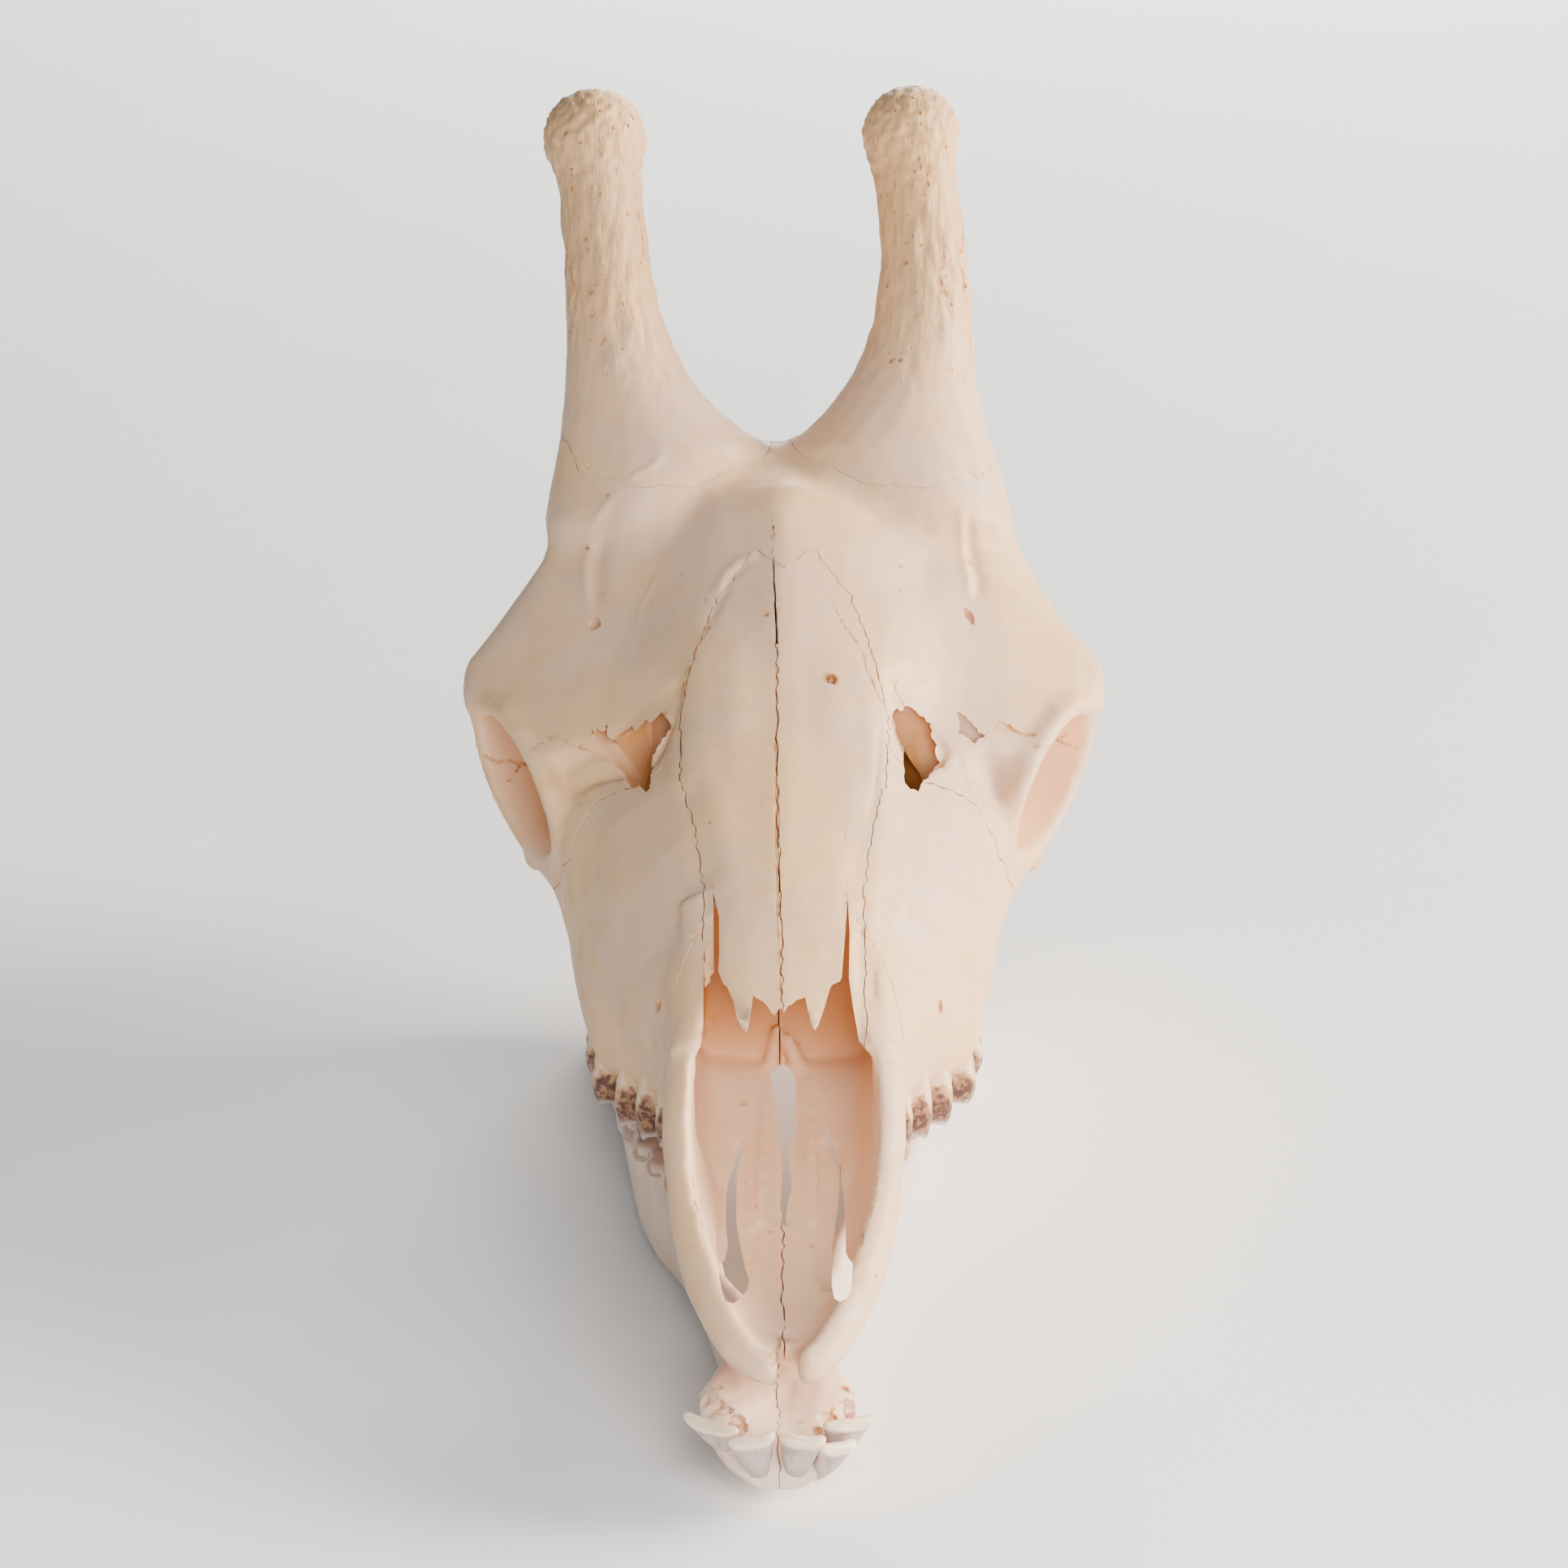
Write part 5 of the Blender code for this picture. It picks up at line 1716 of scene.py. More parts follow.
# Torn openings: name, a place in the middle, how deep the cutter reaches each way, outline in pixels
TORN_OPENINGS = (
    ("right_opening", (-66, 310, 115), 26.0, (
        (711, 922), (717, 917), (724, 911), (728, 904), (730, 897), (732, 903), (737, 893), (738, 902), (744, 902),
        (747, 895), (749, 893), (747, 901), (749, 907), (753, 911), (761, 914), (763, 904), (767, 903), (773, 900),
        (779, 896), (782, 899), (787, 897), (792, 891), (795, 885), (801, 889), (805, 888), (810, 884), (816, 875),
        (821, 884), (825, 887), (827, 898), (820, 907), (813, 915), (807, 927), (802, 940), (803, 950), (800, 960),
        (801, 973), (798, 979), (787, 969), (778, 970), (773, 964), (772, 953), (762, 946), (753, 938),
        (738, 935), (732, 929), (724, 926),
    )),
    ("right_plate", (-50, 306, 123), 3.2, (
        (827, 892), (820, 905), (811, 913), (805, 927), (800, 940), (800, 958), (799, 972), (804, 986), (813, 984),
        (828, 976), (835, 966), (834, 952), (837, 936), (837, 924), (834, 910),
    )),
    ("left_plate", (45, 305, 127), 3.2, (
        (1099, 880), (1095, 892), (1091, 901), (1088, 918), (1086, 944), (1088, 953), (1103, 960), (1116, 968),
        (1115, 930), (1108, 904), (1101, 884),
    )),
    ("left_opening", (54, 304, 117), 24.0, (
        (1100, 886), (1106, 904), (1110, 917), (1114, 930), (1113, 944), (1115, 956), (1114, 968),
        (1121, 973), (1131, 974), (1134, 966), (1144, 959), (1151, 945), (1157, 940), (1154, 928), (1153, 918),
        (1148, 909), (1147, 891), (1138, 885), (1129, 878), (1121, 871), (1115, 871), (1114, 875), (1109, 878),
        (1105, 874), (1101, 874),
    )),
    ("left_gap", (81, 326, 116), 9.0, (
        (1179, 877), (1186, 881), (1194, 886), (1197, 892), (1206, 901), (1215, 907), (1206, 911), (1201, 916),
        (1194, 911), (1181, 903), (1182, 889),
    )),
)

# Cracks, open sutures and vessel furrows: pixels of the photograph, radius, stain, its reach, unevenness
CRACKS = (
    Crack(((950, 615), (951.7, 631), (952.8, 648), (954, 665)), 0.95, 1.0, 1.8, 0.2),
    Crack(((954, 667), (951, 680), (949, 697)), 0.3, 0.35, 1.2),
    Crack(((932, 690), (912, 699), (893, 722), (884, 744), (874, 770)), 0.3, 0.25, 1.2),
    Crack(((874, 770), (864, 787), (856, 800), (852, 815), (846, 830), (843, 844), (841, 861), (837, 878)), 0.55,
          0.62, 2.2, 0.8),
    Crack(((1019, 730), (1028, 747), (1034.6, 762), (1042, 774), (1053, 787), (1065, 807), (1067, 825), (1079, 849),
           (1084, 864), (1090, 868)), 0.38, 0.5, 1.3, 0.35),
    Crack(((1109, 830), (1102.6, 843), (1104, 854), (1113, 868)), 0.35, 0.5, 1.2),
    Crack(((655, 926), (664.5, 916.6), (671, 913), (677, 909), (689, 906)), 0.5, 0.55, 1.6, 0.7),
    Crack(((689, 906), (696, 912), (703, 918), (712, 922)), 0.25, 0.3, 1.2, 0.6),
    Crack(((736, 959), (730, 967), (723, 973), (716, 990)), 0.35, 0.45, 1.3),
    Crack(((1157, 896), (1163, 898), (1169, 896), (1176, 899)), 0.3, 0.3, 1.0, 0.6),
    Crack(((1215, 904), (1224, 899), (1231, 890), (1238, 891)), 0.3, 0.3, 1.1, 0.6),
    Crack(((1236, 891), (1243, 894), (1248, 900), (1256, 904), (1265, 906), (1274, 905)), 0.8, 0.62, 2.0,
          0.7),
    Crack(((1275, 920), (1283, 919), (1293, 919), (1302, 912), (1317, 919), (1326, 920)), 0.4, 0.5, 1.6,
          0.9),
    Crack(((597, 931), (612, 940), (628, 936), (641, 941), (650, 942)), 0.4, 0.5, 1.6, 0.9),
    Crack(((1184, 928), (1188, 941), (1194, 955), (1200, 964), (1208, 982), (1214, 1000)), 0.25, 0.3, 1.2),
    Crack(((1082, 952), (1078, 976), (1076, 996), (1073, 1009), (1060, 1013), (1046, 1009), (1040, 1024),
           (1042, 1060), (1043, 1104)), 0.35, 0.35, 1.3, 0.4),
    Crack(((844, 960), (847, 982), (850, 1001), (856, 1030), (868, 1050), (876, 1075), (879, 1104)), 0.35, 0.3,
          1.3, 0.4),
    Crack(((858, 1013), (868, 1014), (880, 1013)), 0.3, 0.3, 1.0),
    Crack(((955, 905), (956, 930), (957, 960)), 0.6, 0.5, 1.3, 0.1),
    Crack(((956.6, 960), (957, 1000), (957, 1040), (958, 1080), (958, 1130)), 1.15, 0.5, 2.0, 0.12),
    Crack(((925, 1699), (940, 1704), (955, 1703)), 0.0, 0.3, 2.4),
    Crack(((990, 1697), (1005, 1701), (1025, 1697)), 0.0, 0.3, 2.4),
    Crack(((960, 1646), (970, 1655), (984, 1662)), 0.0, 0.24, 5.5),
    Crack(((877, 1118), (879, 1150), (881, 1185), (883, 1208)), 0.0, 0.5, 1.6),
    Crack(((1043, 1112), (1043, 1150), (1043, 1180), (1040, 1203)), 0.0, 0.5, 1.6),
    Crack(((958, 1130), (959.5, 1170), (961, 1205), (962, 1236)), 0.45, 0.4, 1.2, 0.1),
    Crack(((1027, 1276), (1036, 1268), (1041, 1260), (1044, 1252)), 0.4, 0.6, 1.0, 0.4),
    Crack(((884, 1232), (890, 1240), (897, 1245)), 0.3, 0.5, 1.0, 0.4),
    Crack(((850, 1391), (853, 1452), (860, 1490), (867, 1517), (877, 1538), (883, 1546)), 0.32, 0.45, 1.2,
          0.2),
    Crack(((1083, 1380), (1083, 1416), (1081, 1441), (1078, 1471), (1074, 1494), (1065, 1511), (1062, 1532),
           (1057, 1542), (1052, 1551)), 0.35, 0.5, 1.3, 0.2),
    Crack(((961, 1650), (959, 1660), (957, 1670), (953, 1681)), 0.7, 0.85, 1.6, 0.3),
    Crack(((1194, 578), (1205, 590), (1215, 596)), 0.3, 0.4, 1.3),
    Crack(((1197, 668), (1198, 692), (1205, 712), (1205, 734), (1202, 748)), 0.4, 0.3, 1.4),
    Crack(((1150, 985), (1165, 1010), (1172, 1032)), 0.2, 0.2, 0.9),
    Crack(((1183, 262), (1186, 290), (1181, 318), (1187, 345), (1190, 372)), 0.7, 0.75, 2.2, 1.1),
    Crack(((1158, 300), (1163, 325), (1158, 345), (1166, 362)), 0.55, 0.7, 2.0, 0.9),
    Crack(((1196, 385), (1199, 410), (1196, 432), (1200, 455)), 0.5, 0.55, 1.8, 0.8),
    Crack(((786, 262), (789, 285), (792, 305), (788, 330)), 0.55, 0.6, 1.9, 0.8),
    Crack(((703, 330), (708, 352), (701, 378), (706, 402)), 0.45, 0.5, 1.7, 0.8),
    Crack(((1087, 232), (1084, 262), (1088, 290)), 0.45, 0.5, 1.7, 0.8),
)

# Holes and hollows: pixel, radii in millimetres, stain, its reach, roughness, lift out of the bone
PITS = (
    Pit((732, 769), (4.0, 3.0, 4.0), 0.42, 1.0, 0.35, -0.4),
    Pit((1195, 759), (2.2, 4.2, 3.6), 0.45, 1.0, 0.35, -0.4),
    Pit((1024, 838), (2.5, 2.9, 4.5), 1.0, 0.4, 0.5),
    Pit((724, 676), (1.2, 0.8, 1.4), 0.6, 0.8), Pit((801, 743), (1.1, 1.1, 1.4), 0.7, 0.7),
    Pit((749, 611), (0.8, 0.8, 1.0), 0.5, 0.8), Pit((726, 574), (1.1, 1.1, 0.8), 0.45, 1.2),
    Pit((838, 707), (0.7, 0.7, 1.2), 0.7, 0.5), Pit((869, 738), (0.7, 0.7, 1.0), 0.5, 0.5),
    Pit((1194, 643), (0.9, 1.1, 1.2), 0.6, 0.8), Pit((1197, 692), (0.9, 0.9, 1.5), 1.0, 0.4),
    Pit((1110, 698), (0.6, 0.6, 1.0), 0.6, 0.5), Pit((1110, 728), (0.6, 0.6, 1.0), 0.6, 0.5),
    Pit((945, 757), (0.9, 1.4, 1.6), 0.9, 0.6), Pit((864, 787), (1.0, 1.0, 1.4), 0.8, 0.7),
    Pit((817, 880), (1.6, 1.2, 1.5), 0.9, 0.9), Pit((649, 942), (1.2, 0.8, 1.0), 0.6, 0.8),
    Pit((916, 1360), (1.6, 1.3, 0.9), 0.34, 1.6), Pit((938, 1292), (1.4, 0.9, 1.2), 0.8, 0.9),
    Pit((1013, 1345), (1.8, 1.2, 0.9), 0.34, 1.6), Pit((917, 1457), (1.0, 0.7, 0.6), 0.34, 1.0),
    Pit((931, 1487), (0.5, 0.5, 0.6), 0.6, 0.4), Pit((950, 1518), (0.5, 0.5, 0.6), 0.6, 0.4),
    Pit((1000, 1535), (0.9, 0.9, 0.6), 0.36, 1.1), Pit((1079, 1571), (0.8, 0.6, 0.6), 0.5, 0.8),
    Pit((1078, 1470), (0.7, 1.4, 1.4), 0.8, 0.6), Pit((1076, 1482), (0.9, 1.6, 1.4), 0.6, 0.6),
    Pit((1065, 1510), (1.5, 1.8, 1.2), 0.45, 0.7), Pit((956, 1672), (1.9, 2.0, 3.0), 0.75, 0.7),
    Pit((938, 1254), (4.2, 3.6, 3.0), 0.4, 2.0), Pit((962, 1258), (2.6, 4.6, 7.0), 0.62, 2.4),
    Pit((985, 1252), (4.2, 3.6, 2.6), 0.4, 2.0), Pit((990, 1244), (1.5, 1.2, 2.0), 0.75, 0.8),
    Pit((897, 1241), (1.0, 0.8, 0.8), 0.45, 1.4), Pit((929, 1289), (1.0, 0.8, 0.8), 0.45, 1.4),
    Pit((1160, 1240), (2.2, 3.0, 4.0), 0.6, 0.8), Pit((812, 1240), (2.0, 3.0, 4.0), 0.6, 0.8),
    Pit((874, 1013), (1.2, 0.6, 0.8), 0.5, 0.6),
)

# Soft grooves, and ridges where the depth is negative: pixels, radius, depth
FURROWS = (
    Furrow(((760, 625), (749, 640), (740, 665), (736, 690), (737, 720), (737, 748)), 4.2, 1.7),
    Furrow(((764, 600), (750, 618), (733, 650), (726, 676), (722, 700), (724, 735), (728, 762)), 2.4, -1.1),
    Furrow(((1190, 630), (1197, 664), (1200, 695), (1206, 715), (1205, 740)), 3.0, 1.6),
    Furrow(((1180, 620), (1187, 664), (1190, 695), (1194, 715), (1196, 740)), 2.4, -1.0),
    Furrow(((772, 596), (785, 583), (800, 577), (821, 557)), 1.5, -0.7),
    Furrow(((810, 695), (802, 722), (788, 746), (785, 774)), 1.2, -0.5),
    Furrow(((837, 633), (880, 616), (924, 605), (956, 602), (982, 603), (1008, 615), (1048, 637), (1092, 658)), 6.0,
           -0.8),
    Furrow(((846, 955), (852, 1000), (861, 1050), (869, 1100)), 7.0, 1.7),
    Furrow(((1080, 960), (1070, 1010), (1061, 1055), (1054, 1100)), 6.0, 1.1),
    Furrow(((945, 690), (920, 694), (900, 712), (886, 742), (868, 780)), 2.0, 0.8),
    Furrow(((936, 684), (915, 690), (895, 706), (880, 735)), 3.0, -0.9),
    Furrow(((879, 1234), (893, 1243), (905, 1256), (918, 1268), (932, 1277), (943, 1281)), 2.2, -1.8),
    Furrow(((884, 1224), (896, 1233), (908, 1247), (918, 1257)), 2.2, 1.8),
    Furrow(((926, 1240), (927, 1255), (933, 1268), (943, 1274), (951, 1266)), 1.8, -1.7),
    Furrow(((876, 1260), (893, 1265), (910, 1276), (926, 1287)), 1.9, 1.4),
    Furrow(((872, 1274), (890, 1279), (906, 1288), (922, 1300)), 2.0, -0.9),
    Furrow(((1000, 1270), (1014, 1262), (1028, 1256), (1042, 1246)), 1.9, -1.6),
    Furrow(((1004, 1280), (1020, 1272), (1034, 1266), (1045, 1258)), 1.7, 1.4),
    Furrow(((1000, 1246), (1002, 1262), (996, 1275)), 1.8, -1.3),
    Furrow(((1010, 1292), (1028, 1283), (1048, 1274)), 2.2, -0.9),
    Furrow(((999, 1330), (1007, 1400), (1010, 1440), (1011, 1500), (1014, 1560), (1022, 1595)), 1.3, 0.7),
    Furrow(((935, 1340), (931, 1400), (928, 1470), (925, 1530), (923, 1570)), 1.3, 0.5),
    Furrow(((928, 1510), (925, 1535), (922, 1560)), 2.6, 1.6),
    Furrow(((1010, 1520), (1013, 1560), (1018, 1590)), 2.0, 1.2),
    Furrow(((955, 1648), (966, 1645), (978, 1646), (986, 1652), (986, 1670), (975, 1676)), 3.2, 1.5),
    Furrow(((1180, 928), (1188, 960), (1196, 990), (1200, 1012)), 2.5, 0.6),
    Furrow(((835, 900), (838, 940), (843, 980), (850, 1010)), 1.6, 0.7),
    Furrow(((1086, 880), (1082, 930), (1078, 980), (1072, 1020)), 1.6, 0.7),
)

# Mounds and hollows: middle, reach and height
MOUNDS = (
    ((0, 392, 198), (34, 26, 20), 2.0), ((0, 428, 203), (46, 16, 20), -2.2),
    ((-62, 392, 168), (16, 30, 24), -2.0), ((62, 392, 168), (16, 30, 24), -1.6),
    ((-20, 300, 145), (12, 60, 30), 1.0), ((20, 300, 145), (12, 60, 30), 1.0),
    ((-72, 250, 70), (10, 40, 26), 1.2), ((72, 250, 70), (10, 40, 26), 1.2),
    ((-78, 215, 40), (10, 24, 12), -1.6), ((78, 215, 40), (10, 24, 12), -1.6),
)


@dataclass
class Studio:
    """The floor, the lights and the camera."""

    floor: float = 14.0
    sky: tuple = tint(0.74, 0.90, 1.0)
    sky_strength: float = 0.32

    def build(self) -> None:
        """Sets up everything round the skull."""
        CAMERA.make()
        bm = bmesh.new()
        bmesh.ops.create_grid(bm, x_segments=1, y_segments=1, size=self.floor)
        ground = as_object("studio_floor", bm)
        ground.data.materials.append(StudioFinish().material("studio_floor"))
        world = bpy.data.worlds.new("studio")
        world.use_nodes = True
        sky = world.node_tree.nodes["Background"].inputs
        sky["Color"].default_value = self.sky
        sky["Strength"].default_value = self.sky_strength
        bpy.context.scene.world = world
        self.lamp("key", (3.8, 0.2, 1.55), 2.0, 540.0, (1.0, 0.95, 0.85))
        self.lamp("front", (0.20, -1.0, 0.58), 0.5, 12.5, (1.0, 0.98, 0.96))
        self.lamp("back", (0.4, 3.6, 1.7), 1.8, 150.0, (1.0, 0.98, 0.95))

    def lamp(self, name: str, place: Point, size: float, power: float, colour: Point) -> None:
        """Adds a large soft light that looks at the skull.

        Args:
            name: Name of the light.
            place: Where it stands, in metres.
            size: Its width.
            power: Its power in watts.
            colour: Its colour.
        """
        data = bpy.data.lights.new(name, "AREA")
        data.size = size
        data.energy = power
        data.color = colour
        made = bpy.data.objects.new(name, data)
        made.visible_camera = False
        bpy.context.scene.collection.objects.link(made)
        look = Vector((0.0, 0.0, 0.15)) - Vector(place)
        made.matrix_world = Matrix.Translation(place) @ look.to_track_quat("-Z", "Y").to_matrix().to_4x4()


# Cheek teeth, front to back: outer middle of the crown (x, y), socket level, crown height, length, width
UPPER_TEETH = (
    (51, 194, 9, 20, 17, 17), (59, 211, 5, 22, 18, 21), (68, 229, 0, 21, 19, 24), (78, 251, -4, 18, 25, 27),
    (82, 278, -7, 16, 27, 28), (81, 306, -6, 17, 28, 27),
)
LOWER_ENAMEL = ToothFinish(cream=tint(0.70, 0.53, 0.46), pale=tint(0.60, 0.46, 0.42), stained=0.4)
LOWER_TEETH = (
    (44, 191, -33, 6, 14, 10), (51, 206, -33, 6, 16, 13), (57, 224, -36, 8.5, 19, 15), (62, 247, -38, 10.5, 25, 16),
    (66, 274, -40, 12.5, 28, 17), (69, 306, -42, 14.5, 34, 16),
)
# One tooth seen from below: outwards and backwards, as shares of its width and length
TOOTH_OUTLINE = ((-0.04, -0.49), (0.17, -0.25), (-0.03, 0.0), (0.17, 0.25), (-0.04, 0.49), (-0.55, 0.52), (-1.0, 0.28),
                 (-0.84, 0.0), (-1.0, -0.28), (-0.55, -0.52))
# Walls of a crown: share of its height, share of its footprint
CROWN_WALL = ((-0.5, 0.80), (-0.22, 0.86), (-0.05, 0.90), (0.05, 0.915), (0.12, 0.92), (0.2, 0.955), (0.32, 0.985),
              (0.45, 0.995), (0.58, 0.985), (0.7, 0.96), (0.8, 0.93), (0.89, 0.89), (0.95, 0.85), (1.0, 0.81))
CROWN_WEAR = 1.6
# Chewing face from the rim inwards: share of the footprint and depth under the rim
CROWN_FACE = ((0.83, 0.1), (0.72, 2.0), (0.58, 2.2), (0.50, 0.5), (0.43, 0.7), (0.33, 3.2), (0.18, 3.0), (0.07, 1.4))


@dataclass
class CheekTeeth:
    """The cheek teeth of one side of one jaw."""

    node: str
    side: Side
    upper: bool
    finish: ToothFinish

    def build(self, move: Matrix) -> None:
        """Builds the row of teeth.

        Args:
            move: Where the jaw has slipped to.
        """
        bm = marked_mesh()
        for place in UPPER_TEETH if self.upper else LOWER_TEETH:
            self.crown(bm, place)
        for vert in bm.verts:
            spot = vert.co
            push = noise.noise(spot / 1.6) * 0.16 + noise.noise(spot / 5.0) * 0.35
            vert.co += Vector((push * self.side.value, push * 0.5, push * 0.4))
        bmesh.ops.transform(bm, matrix=move, verts=bm.verts)
        made = as_object(self.node + "_cheek_teeth", bm)
        dress(made, self.finish.material(made.name), self.node)

    def crown(self, bm: bmesh.types.BMesh, place: Sequence[float]) -> None:
        """Adds one tooth with two cusped lobes, its root sunk in the bone.

        Args:
            bm: Mesh that takes it.
            place: Its row of the table.
        """
        x, y, level, height, length, width = place
        height -= CROWN_WEAR
        down = -1 if self.upper else 1
        outline = round_off(TOOTH_OUTLINE, 10)
        rings, marks = [], []
        for share, grow in CROWN_WALL:
            lift = share * height if share > 0 else share * 18.0
            rings.append(self.ring(place, outline, grow, level + down * lift, max(share, 0.0) ** 2 * down))
            marks.append((max(share, 0.0), float(soft_step(np.array(share), 0.84, 1.0))))
        for grow, depth in CROWN_FACE:
            rings.append(self.ring(place, outline, grow * 0.81, level + down * (height - depth), down * grow))
            marks.append((0.75, 0.9 if depth < 1.0 else 0.15))
        before = set(bm.verts)
        loft(bm, rings, marks)
        rise = bm.verts.layers.float["rise"]
        for vert in set(bm.verts) - before:
            cleft = abs((vert.co.y - y) / length)
            if vert[rise] > 0.04:
                vert[rise] += 0.34 * (math.exp(-((cleft / 0.07) ** 2)) + math.exp(-(((cleft - 0.47) / 0.07) ** 2)))

    def ring(self, place: Sequence[float], outline: Sequence[Pixel], grow: float, z: float,
             cusp: float) -> list[Vector]:
        """One level of a crown.

        Args:
            place: The tooth's row of the table.
            outline: Its outline as shares.
            grow: Share of the outline.
            z: Its height.
            cusp: How far its cusps reach beyond it, downwards if negative.

        Returns:
            The points.
        """
        x, y, _, _, length, width = place
        ring = []
        for a, b in outline:
            rib = 0.035 * (math.exp(-((b / 0.05) ** 2)) + math.exp(-(((b + 0.44) / 0.05) ** 2))) if a > -0.3 else 0.0
            across = x + ((a + rib) * width + 0.5 * width) * grow - 0.5 * width
            peak = max(0.0, 1.0 - abs(abs(b) - 0.27) / 0.27)
            ring.append(Vector((across * self.side.value, y + b * length * grow, z + cusp * 4.0 * peak)))
        return ring


# Front teeth: middle of the biting edge, width of the edge, root end and turn of the edge seen from above
FRONT_TEETH = {
    Side.RIGHT: (((-10.8, -9, -25), 18.0, (-7, 7, -51), 6), ((-27.2, 2.5, -25.5), 24.0, (-17, 16, -46), -31)),
    Side.LEFT: (((8.8, -9, -25), 17.6, (6, 7, -51), -4), ((23, -5, -31), 16.0, (14.5, 9, -51), 18),
                ((27.5, 4, -26), 21.0, (21, 13, -48), 22)),
}
# Share of the way from root to edge, half width as a share of the edge's or in millimetres, half depth
SPADE = ((-0.06, 0.0, 3.4, 3.6), (0.1, 0.0, 3.9, 4.1), (0.3, 0.0, 4.2, 4.4), (0.45, 0.06, 4.2, 4.4),
         (0.58, 0.2, 2.6, 4.2), (0.7, 0.34, 0.6, 3.7), (0.8, 0.42, 0.0, 3.1), (0.88, 0.47, 0.0, 2.5),
         (0.94, 0.495, 0.0, 2.9), (0.975, 0.49, 0.0, 2.8), (1.0, 0.475, 0.0, 2.4), (1.02, 0.44, 0.0, 1.5))
SPADE_SIDES = 44


@dataclass
class FrontTeeth:
    """The spade-shaped front teeth of one side of the lower jaw."""

    node: str
    side: Side
    finish: SpadeFinish

    def build(self, move: Matrix) -> None:
        """Builds the teeth.

        Args:
            move: Where the jaw has slipped to.
        """
        bm = marked_mesh()
        for place in FRONT_TEETH[self.side]:
            self.spade(bm, *place)
        for vert in bm.verts:
            push = noise.noise(vert.co / 2.5) * 0.22
            vert.co += Vector((push * 0.4, push, push * 0.6))
        bmesh.ops.transform(bm, matrix=move, verts=bm.verts)
        made = as_object(self.node + "_front_teeth", bm)
        dress(made, self.finish.material(made.name), self.node)

    def spade(self, bm: bmesh.types.BMesh, edge: Point, width: float, root: Point, turn: float) -> None:
        """Adds one tooth that leans forward and widens to a thin biting edge.

        Args:
            bm: Mesh that takes it.
            edge: Middle of its biting edge.
            width: Width of the edge.
            root: End of its root.
            turn: Turn of the edge seen from above, in degrees.
        """
        top, low = Vector(edge), Vector(root)
        along = (top - low).normalized()
        wide = Matrix.Rotation(math.radians(turn), 3, "Z") @ Vector((1, 0, 0))
        wide = (wide - along * wide.dot(along)).normalized()
        thick = along.cross(wide)
        rings, marks = [], []
        for share, part, flat, depth in SPADE:
            half = (part * width + flat) * 1.04
            bow = 1.6 * soft_step(np.array(share), 0.45, 1.0)
            middle = low + (top - low) * share
            ring = []
            for k in range(SPADE_SIDES):
                turn_k = 2 * math.pi * k / SPADE_SIDES
                c, s = math.cos(turn_k), math.sin(turn_k)
                lift = 0.45 * math.cos(c * 5.0 + edge[0]) * float(share > 0.9)
                ring.append(middle + wide * half * math.copysign(abs(c) ** 0.7, c)
                            + thick * (depth * math.copysign(abs(s) ** 0.75, s) + float(bow) * c * c) + along * lift)
            rings.append(ring)
            marks.append((max(share, 0.0), float(soft_step(np.array(share), 0.9, 0.99))))
        loft(bm, rings, marks)


def jaw_slip() -> Matrix:
    """The jaw's small slip to the animal's right and its turn."""
    return Matrix.Translation((-1.8, 0, 0)) @ Matrix.Rotation(math.radians(0.9), 4, "Z")


@dataclass
class LowerJaw(BoneSkin):
    """Both halves of the lower jaw."""

    nodes: tuple[str, ...] = ("mandible_right", "mandible_left")
    spots: dict[str, Point] = field(default_factory=lambda: {
        "mandible_right": (-66, 260, -60), "mandible_left": (56, 260, -60),
    })
    voxel: float = 1.5
    smooth: int = 4
    front_plane: tuple[Point, Point] = ((0, 0, -47.5), (0, -0.79, 0.61))
    jitter: Jitter = field(default_factory=lambda: Jitter(23))

    def trim(self, bm: bmesh.types.BMesh) -> None:
        """Cuts off the plain front teeth at their sockets.

        Args:
            bm: The joined bones.
        """
        saw_off(bm, [*bm.verts, *bm.edges, *bm.faces], *self.front_plane)

    def build(self) -> None:
        """Builds both halves of the jaw."""
        skin, sculptor = self.start()
        self.shape(sculptor)
        cracks, pits = self.crack_tools(JAW_CRACKS), self.pit_tools(JAW_PITS)
        sculptor.write()
        slip = jaw_slip()
        line = [tuple((slip @ Vector((0, y, 0))).xy) for y in (-20, 120)]
        wall = Seam(tuple(line), Axis.Z, -130, 20, width=0.5, teeth=0.9, step=2.2).wall(self.jitter)
        cut_away(skin, [wall, *cracks, *pits])
        for name, made in self.part(skin).items():
            lighten(made)
            points = Sculptor(made)
            count = len(points.points)
            for mark in ("rugose", "deep"):
                points.mark(mark, np.zeros(count))
            # A peach patch over the hollow at the jaw's tip
            spot = np.linalg.norm((points.points - np.array((0, 18, -28))) / np.array((30, 26, 12)), axis=1)
            points.mark("peach_and_painted_glow", (1 - soft_step(spot, 0.8, 1.5)) * 0.62)
            self.keep_stains(points)
            dress(made, JAW_FINISH_WITH_PAINTED_FILL.material(name), name)

    def shape(self, sculptor: Sculptor) -> None:
        """Narrows the chin, hollows the tongue's place and roughens the tip.

        Args:
            sculptor: The skin's points.
        """
        y, z = sculptor.points[:, 1], sculptor.points[:, 2]
        low = soft_step(-z, 29, 46) * (1 - soft_step(y, 24, 60))
        sculptor.points[:, 0] *= 1.0 - 0.17 * low
        for centre, radii, lift in JAW_MOUNDS:
            sculptor.swell(centre, radii, lift)
        tip = 1 - soft_step(y, 30, 70)
        sculptor.ripple(tip, 5.0, 0.5, Vector((0, 1, 0)), 1.3)
        sculptor.ripple(np.ones(len(y)), 24.0, 0.8, Vector((0, 1, 0)), 1.8)
        self.press_furrows(sculptor, JAW_FURROWS)


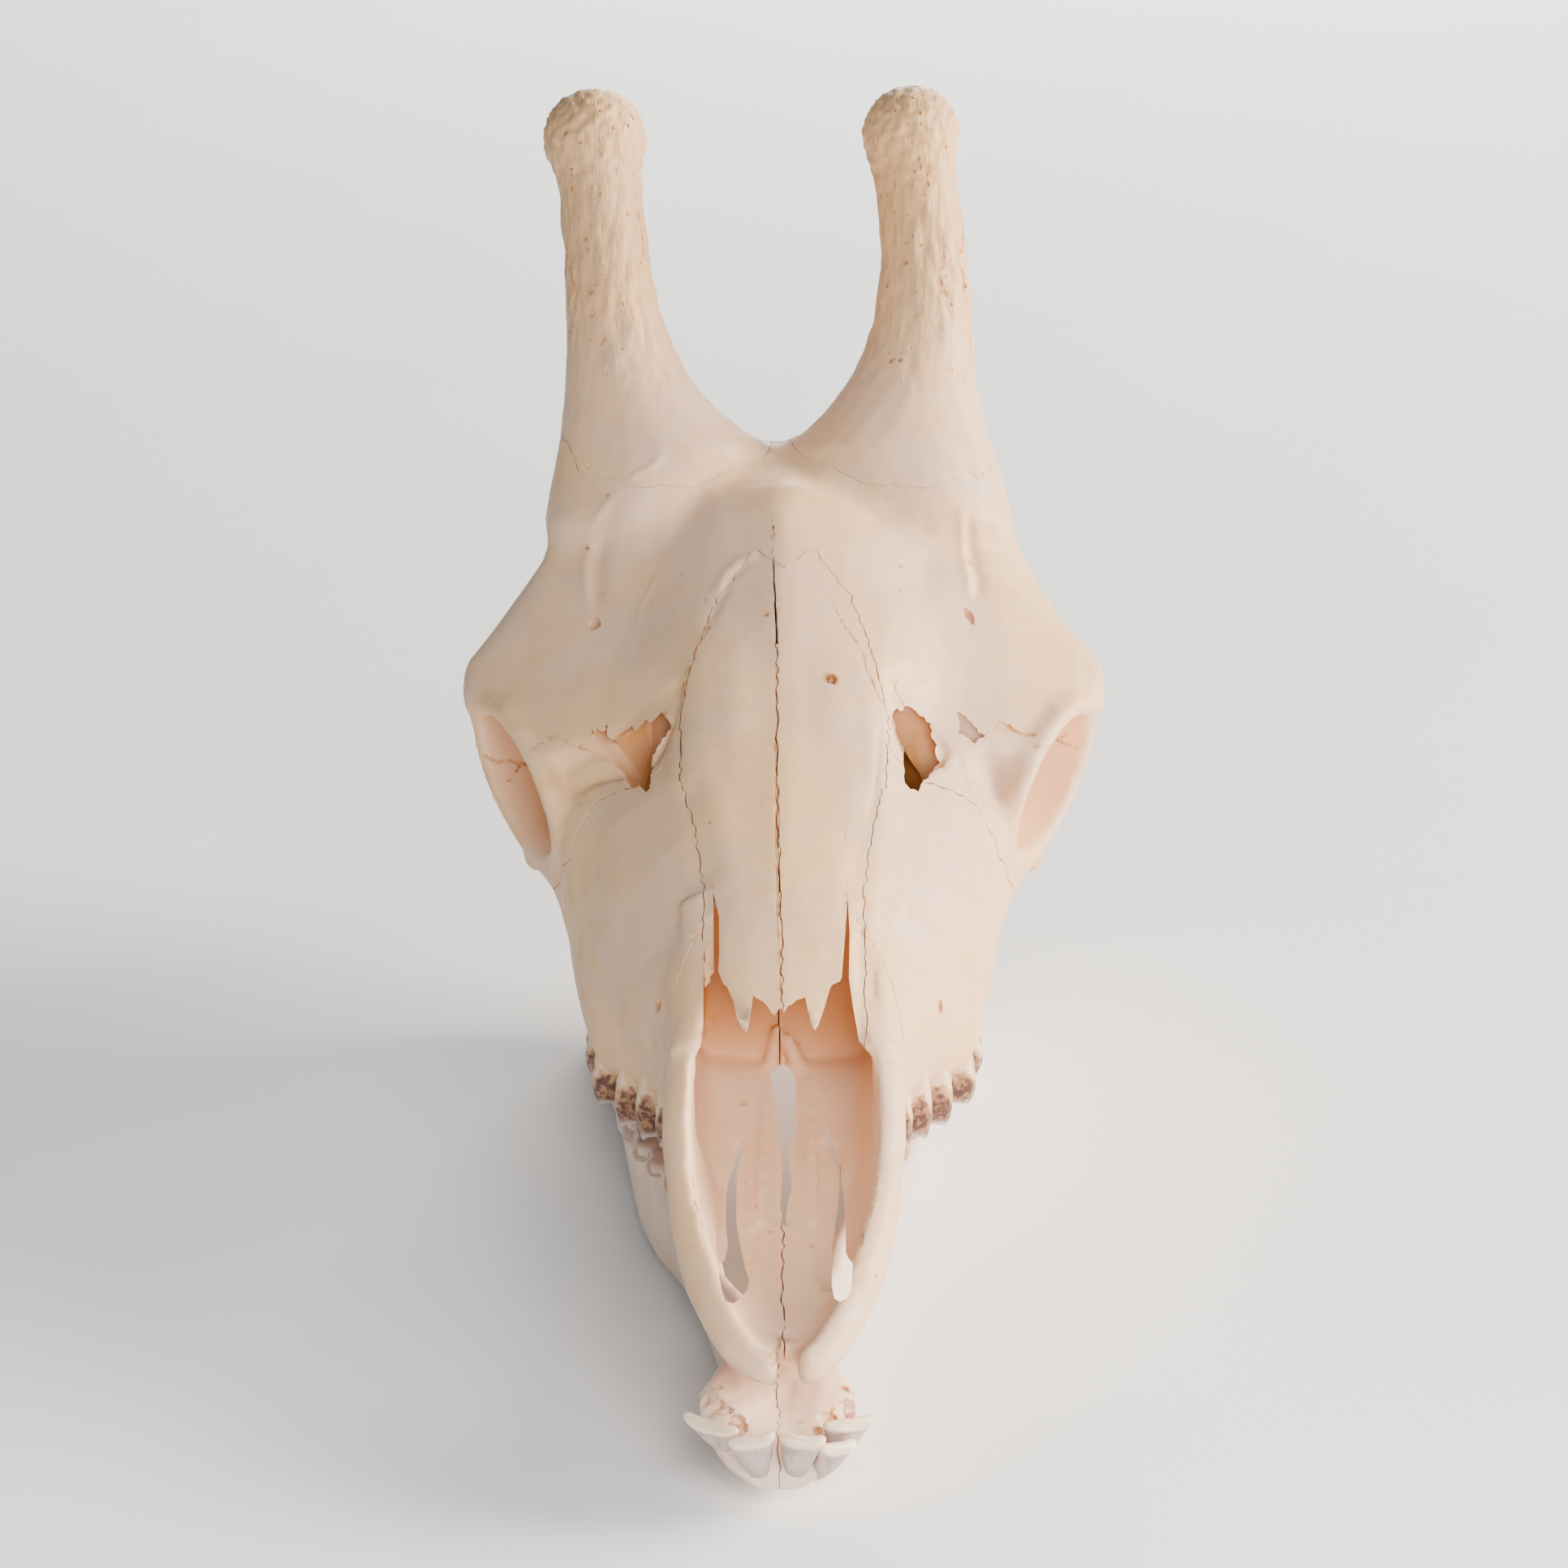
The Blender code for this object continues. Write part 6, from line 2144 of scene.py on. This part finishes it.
# The same tables for the jaw
JAW_MOUNDS = (((-2, 20, -27), (15, 16, 9), -3.0), ((-26, 26, -28), (8, 10, 8), 1.2), ((24, 26, -28), (8, 10, 8), 1.2))
JAW_FURROWS = (Furrow(((872, 1722), (880, 1735), (894, 1741)), 3.0, 1.6),)
JAW_CRACKS = (
    Crack(((966, 1716), (969, 1728), (962, 1744), (959, 1758), (960, 1770)), 0.3, 0.4, 1.4),
)
JAW_PITS = (
    Pit((886, 1711), (2.0, 1.5, 2.4), 0.75, 0.6), Pit((877, 1714), (1.4, 1.2, 1.4), 0.4, 0.8),
    Pit((868, 1727), (3.2, 2.8, 1.8), 0.4, 1.2, 0.5),
    Pit((895, 1738), (3.6, 2.0, 2.2), 0.5, 0.8, 0.5),
    # Hollow between bone and tooth; its dark brown stain is partly brown stain and partly painted shade beneath the
    # bone's lobe
    Pit((908, 1757), (4.2, 5.2, 6.0), 0.6, 1.0, 0.3),
    Pit((1042, 1713), (1.9, 1.6, 3.0), 0.95, 0.5),
    Pit((1052, 1719), (1.8, 1.4, 2.0), 0.55, 0.5),
    Pit((1060, 1727), (2.0, 2.0, 1.8), 0.42, 1.2, 0.5),
    Pit((1040, 1741), (7.5, 5.0, 4.0), 0.36, 1.2, 0.6),
    Pit((1030, 1738), (3.0, 2.2, 5.6), 0.5, 0.8, 0.6),
    Pit((1050, 1737), (2.4, 2.0, 5.2), 0.5, 0.8, 0.6),
    Pit((1058, 1742), (2.4, 2.0, 2.2), 0.5, 0.8, 0.6),
    Pit((1022, 1748), (4.6, 4.0, 4.0), 0.4, 0.8, 0.5),
    Pit((1053, 1736), (4.6, 4.2, 4.0), 0.34, 1.0, 0.6),
    Pit((1036, 1750), (4.2, 3.6, 3.6), 0.42, 1.0, 0.6),
    Pit((884, 1733), (4.4, 3.0, 2.0), 0.3, 1.4, 0.6),
    Pit((1007, 1763), (2.2, 1.8, 2.4), 0.5, 0.5, 0.4),
    Pit((986, 1751), (2.4, 1.0, 0.5), 0.34, 0.8),
)


def main() -> None:
    """Builds the skull and its studio and reports each piece."""
    logging.basicConfig(level=logging.INFO, format="%(message)s")
    Studio().build()
    UpperSkull().build()
    LowerJaw().build()
    still, slip = Matrix.Identity(4), jaw_slip()
    for side in Side:
        CheekTeeth("maxilla_" + side.word, side, True, ToothFinish()).build(still)
        CheekTeeth("mandible_" + side.word, side, False, LOWER_ENAMEL).build(slip)
        FrontTeeth("mandible_" + side.word, side, SpadeFinish()).build(slip)


if __name__ == "__main__":
    main()
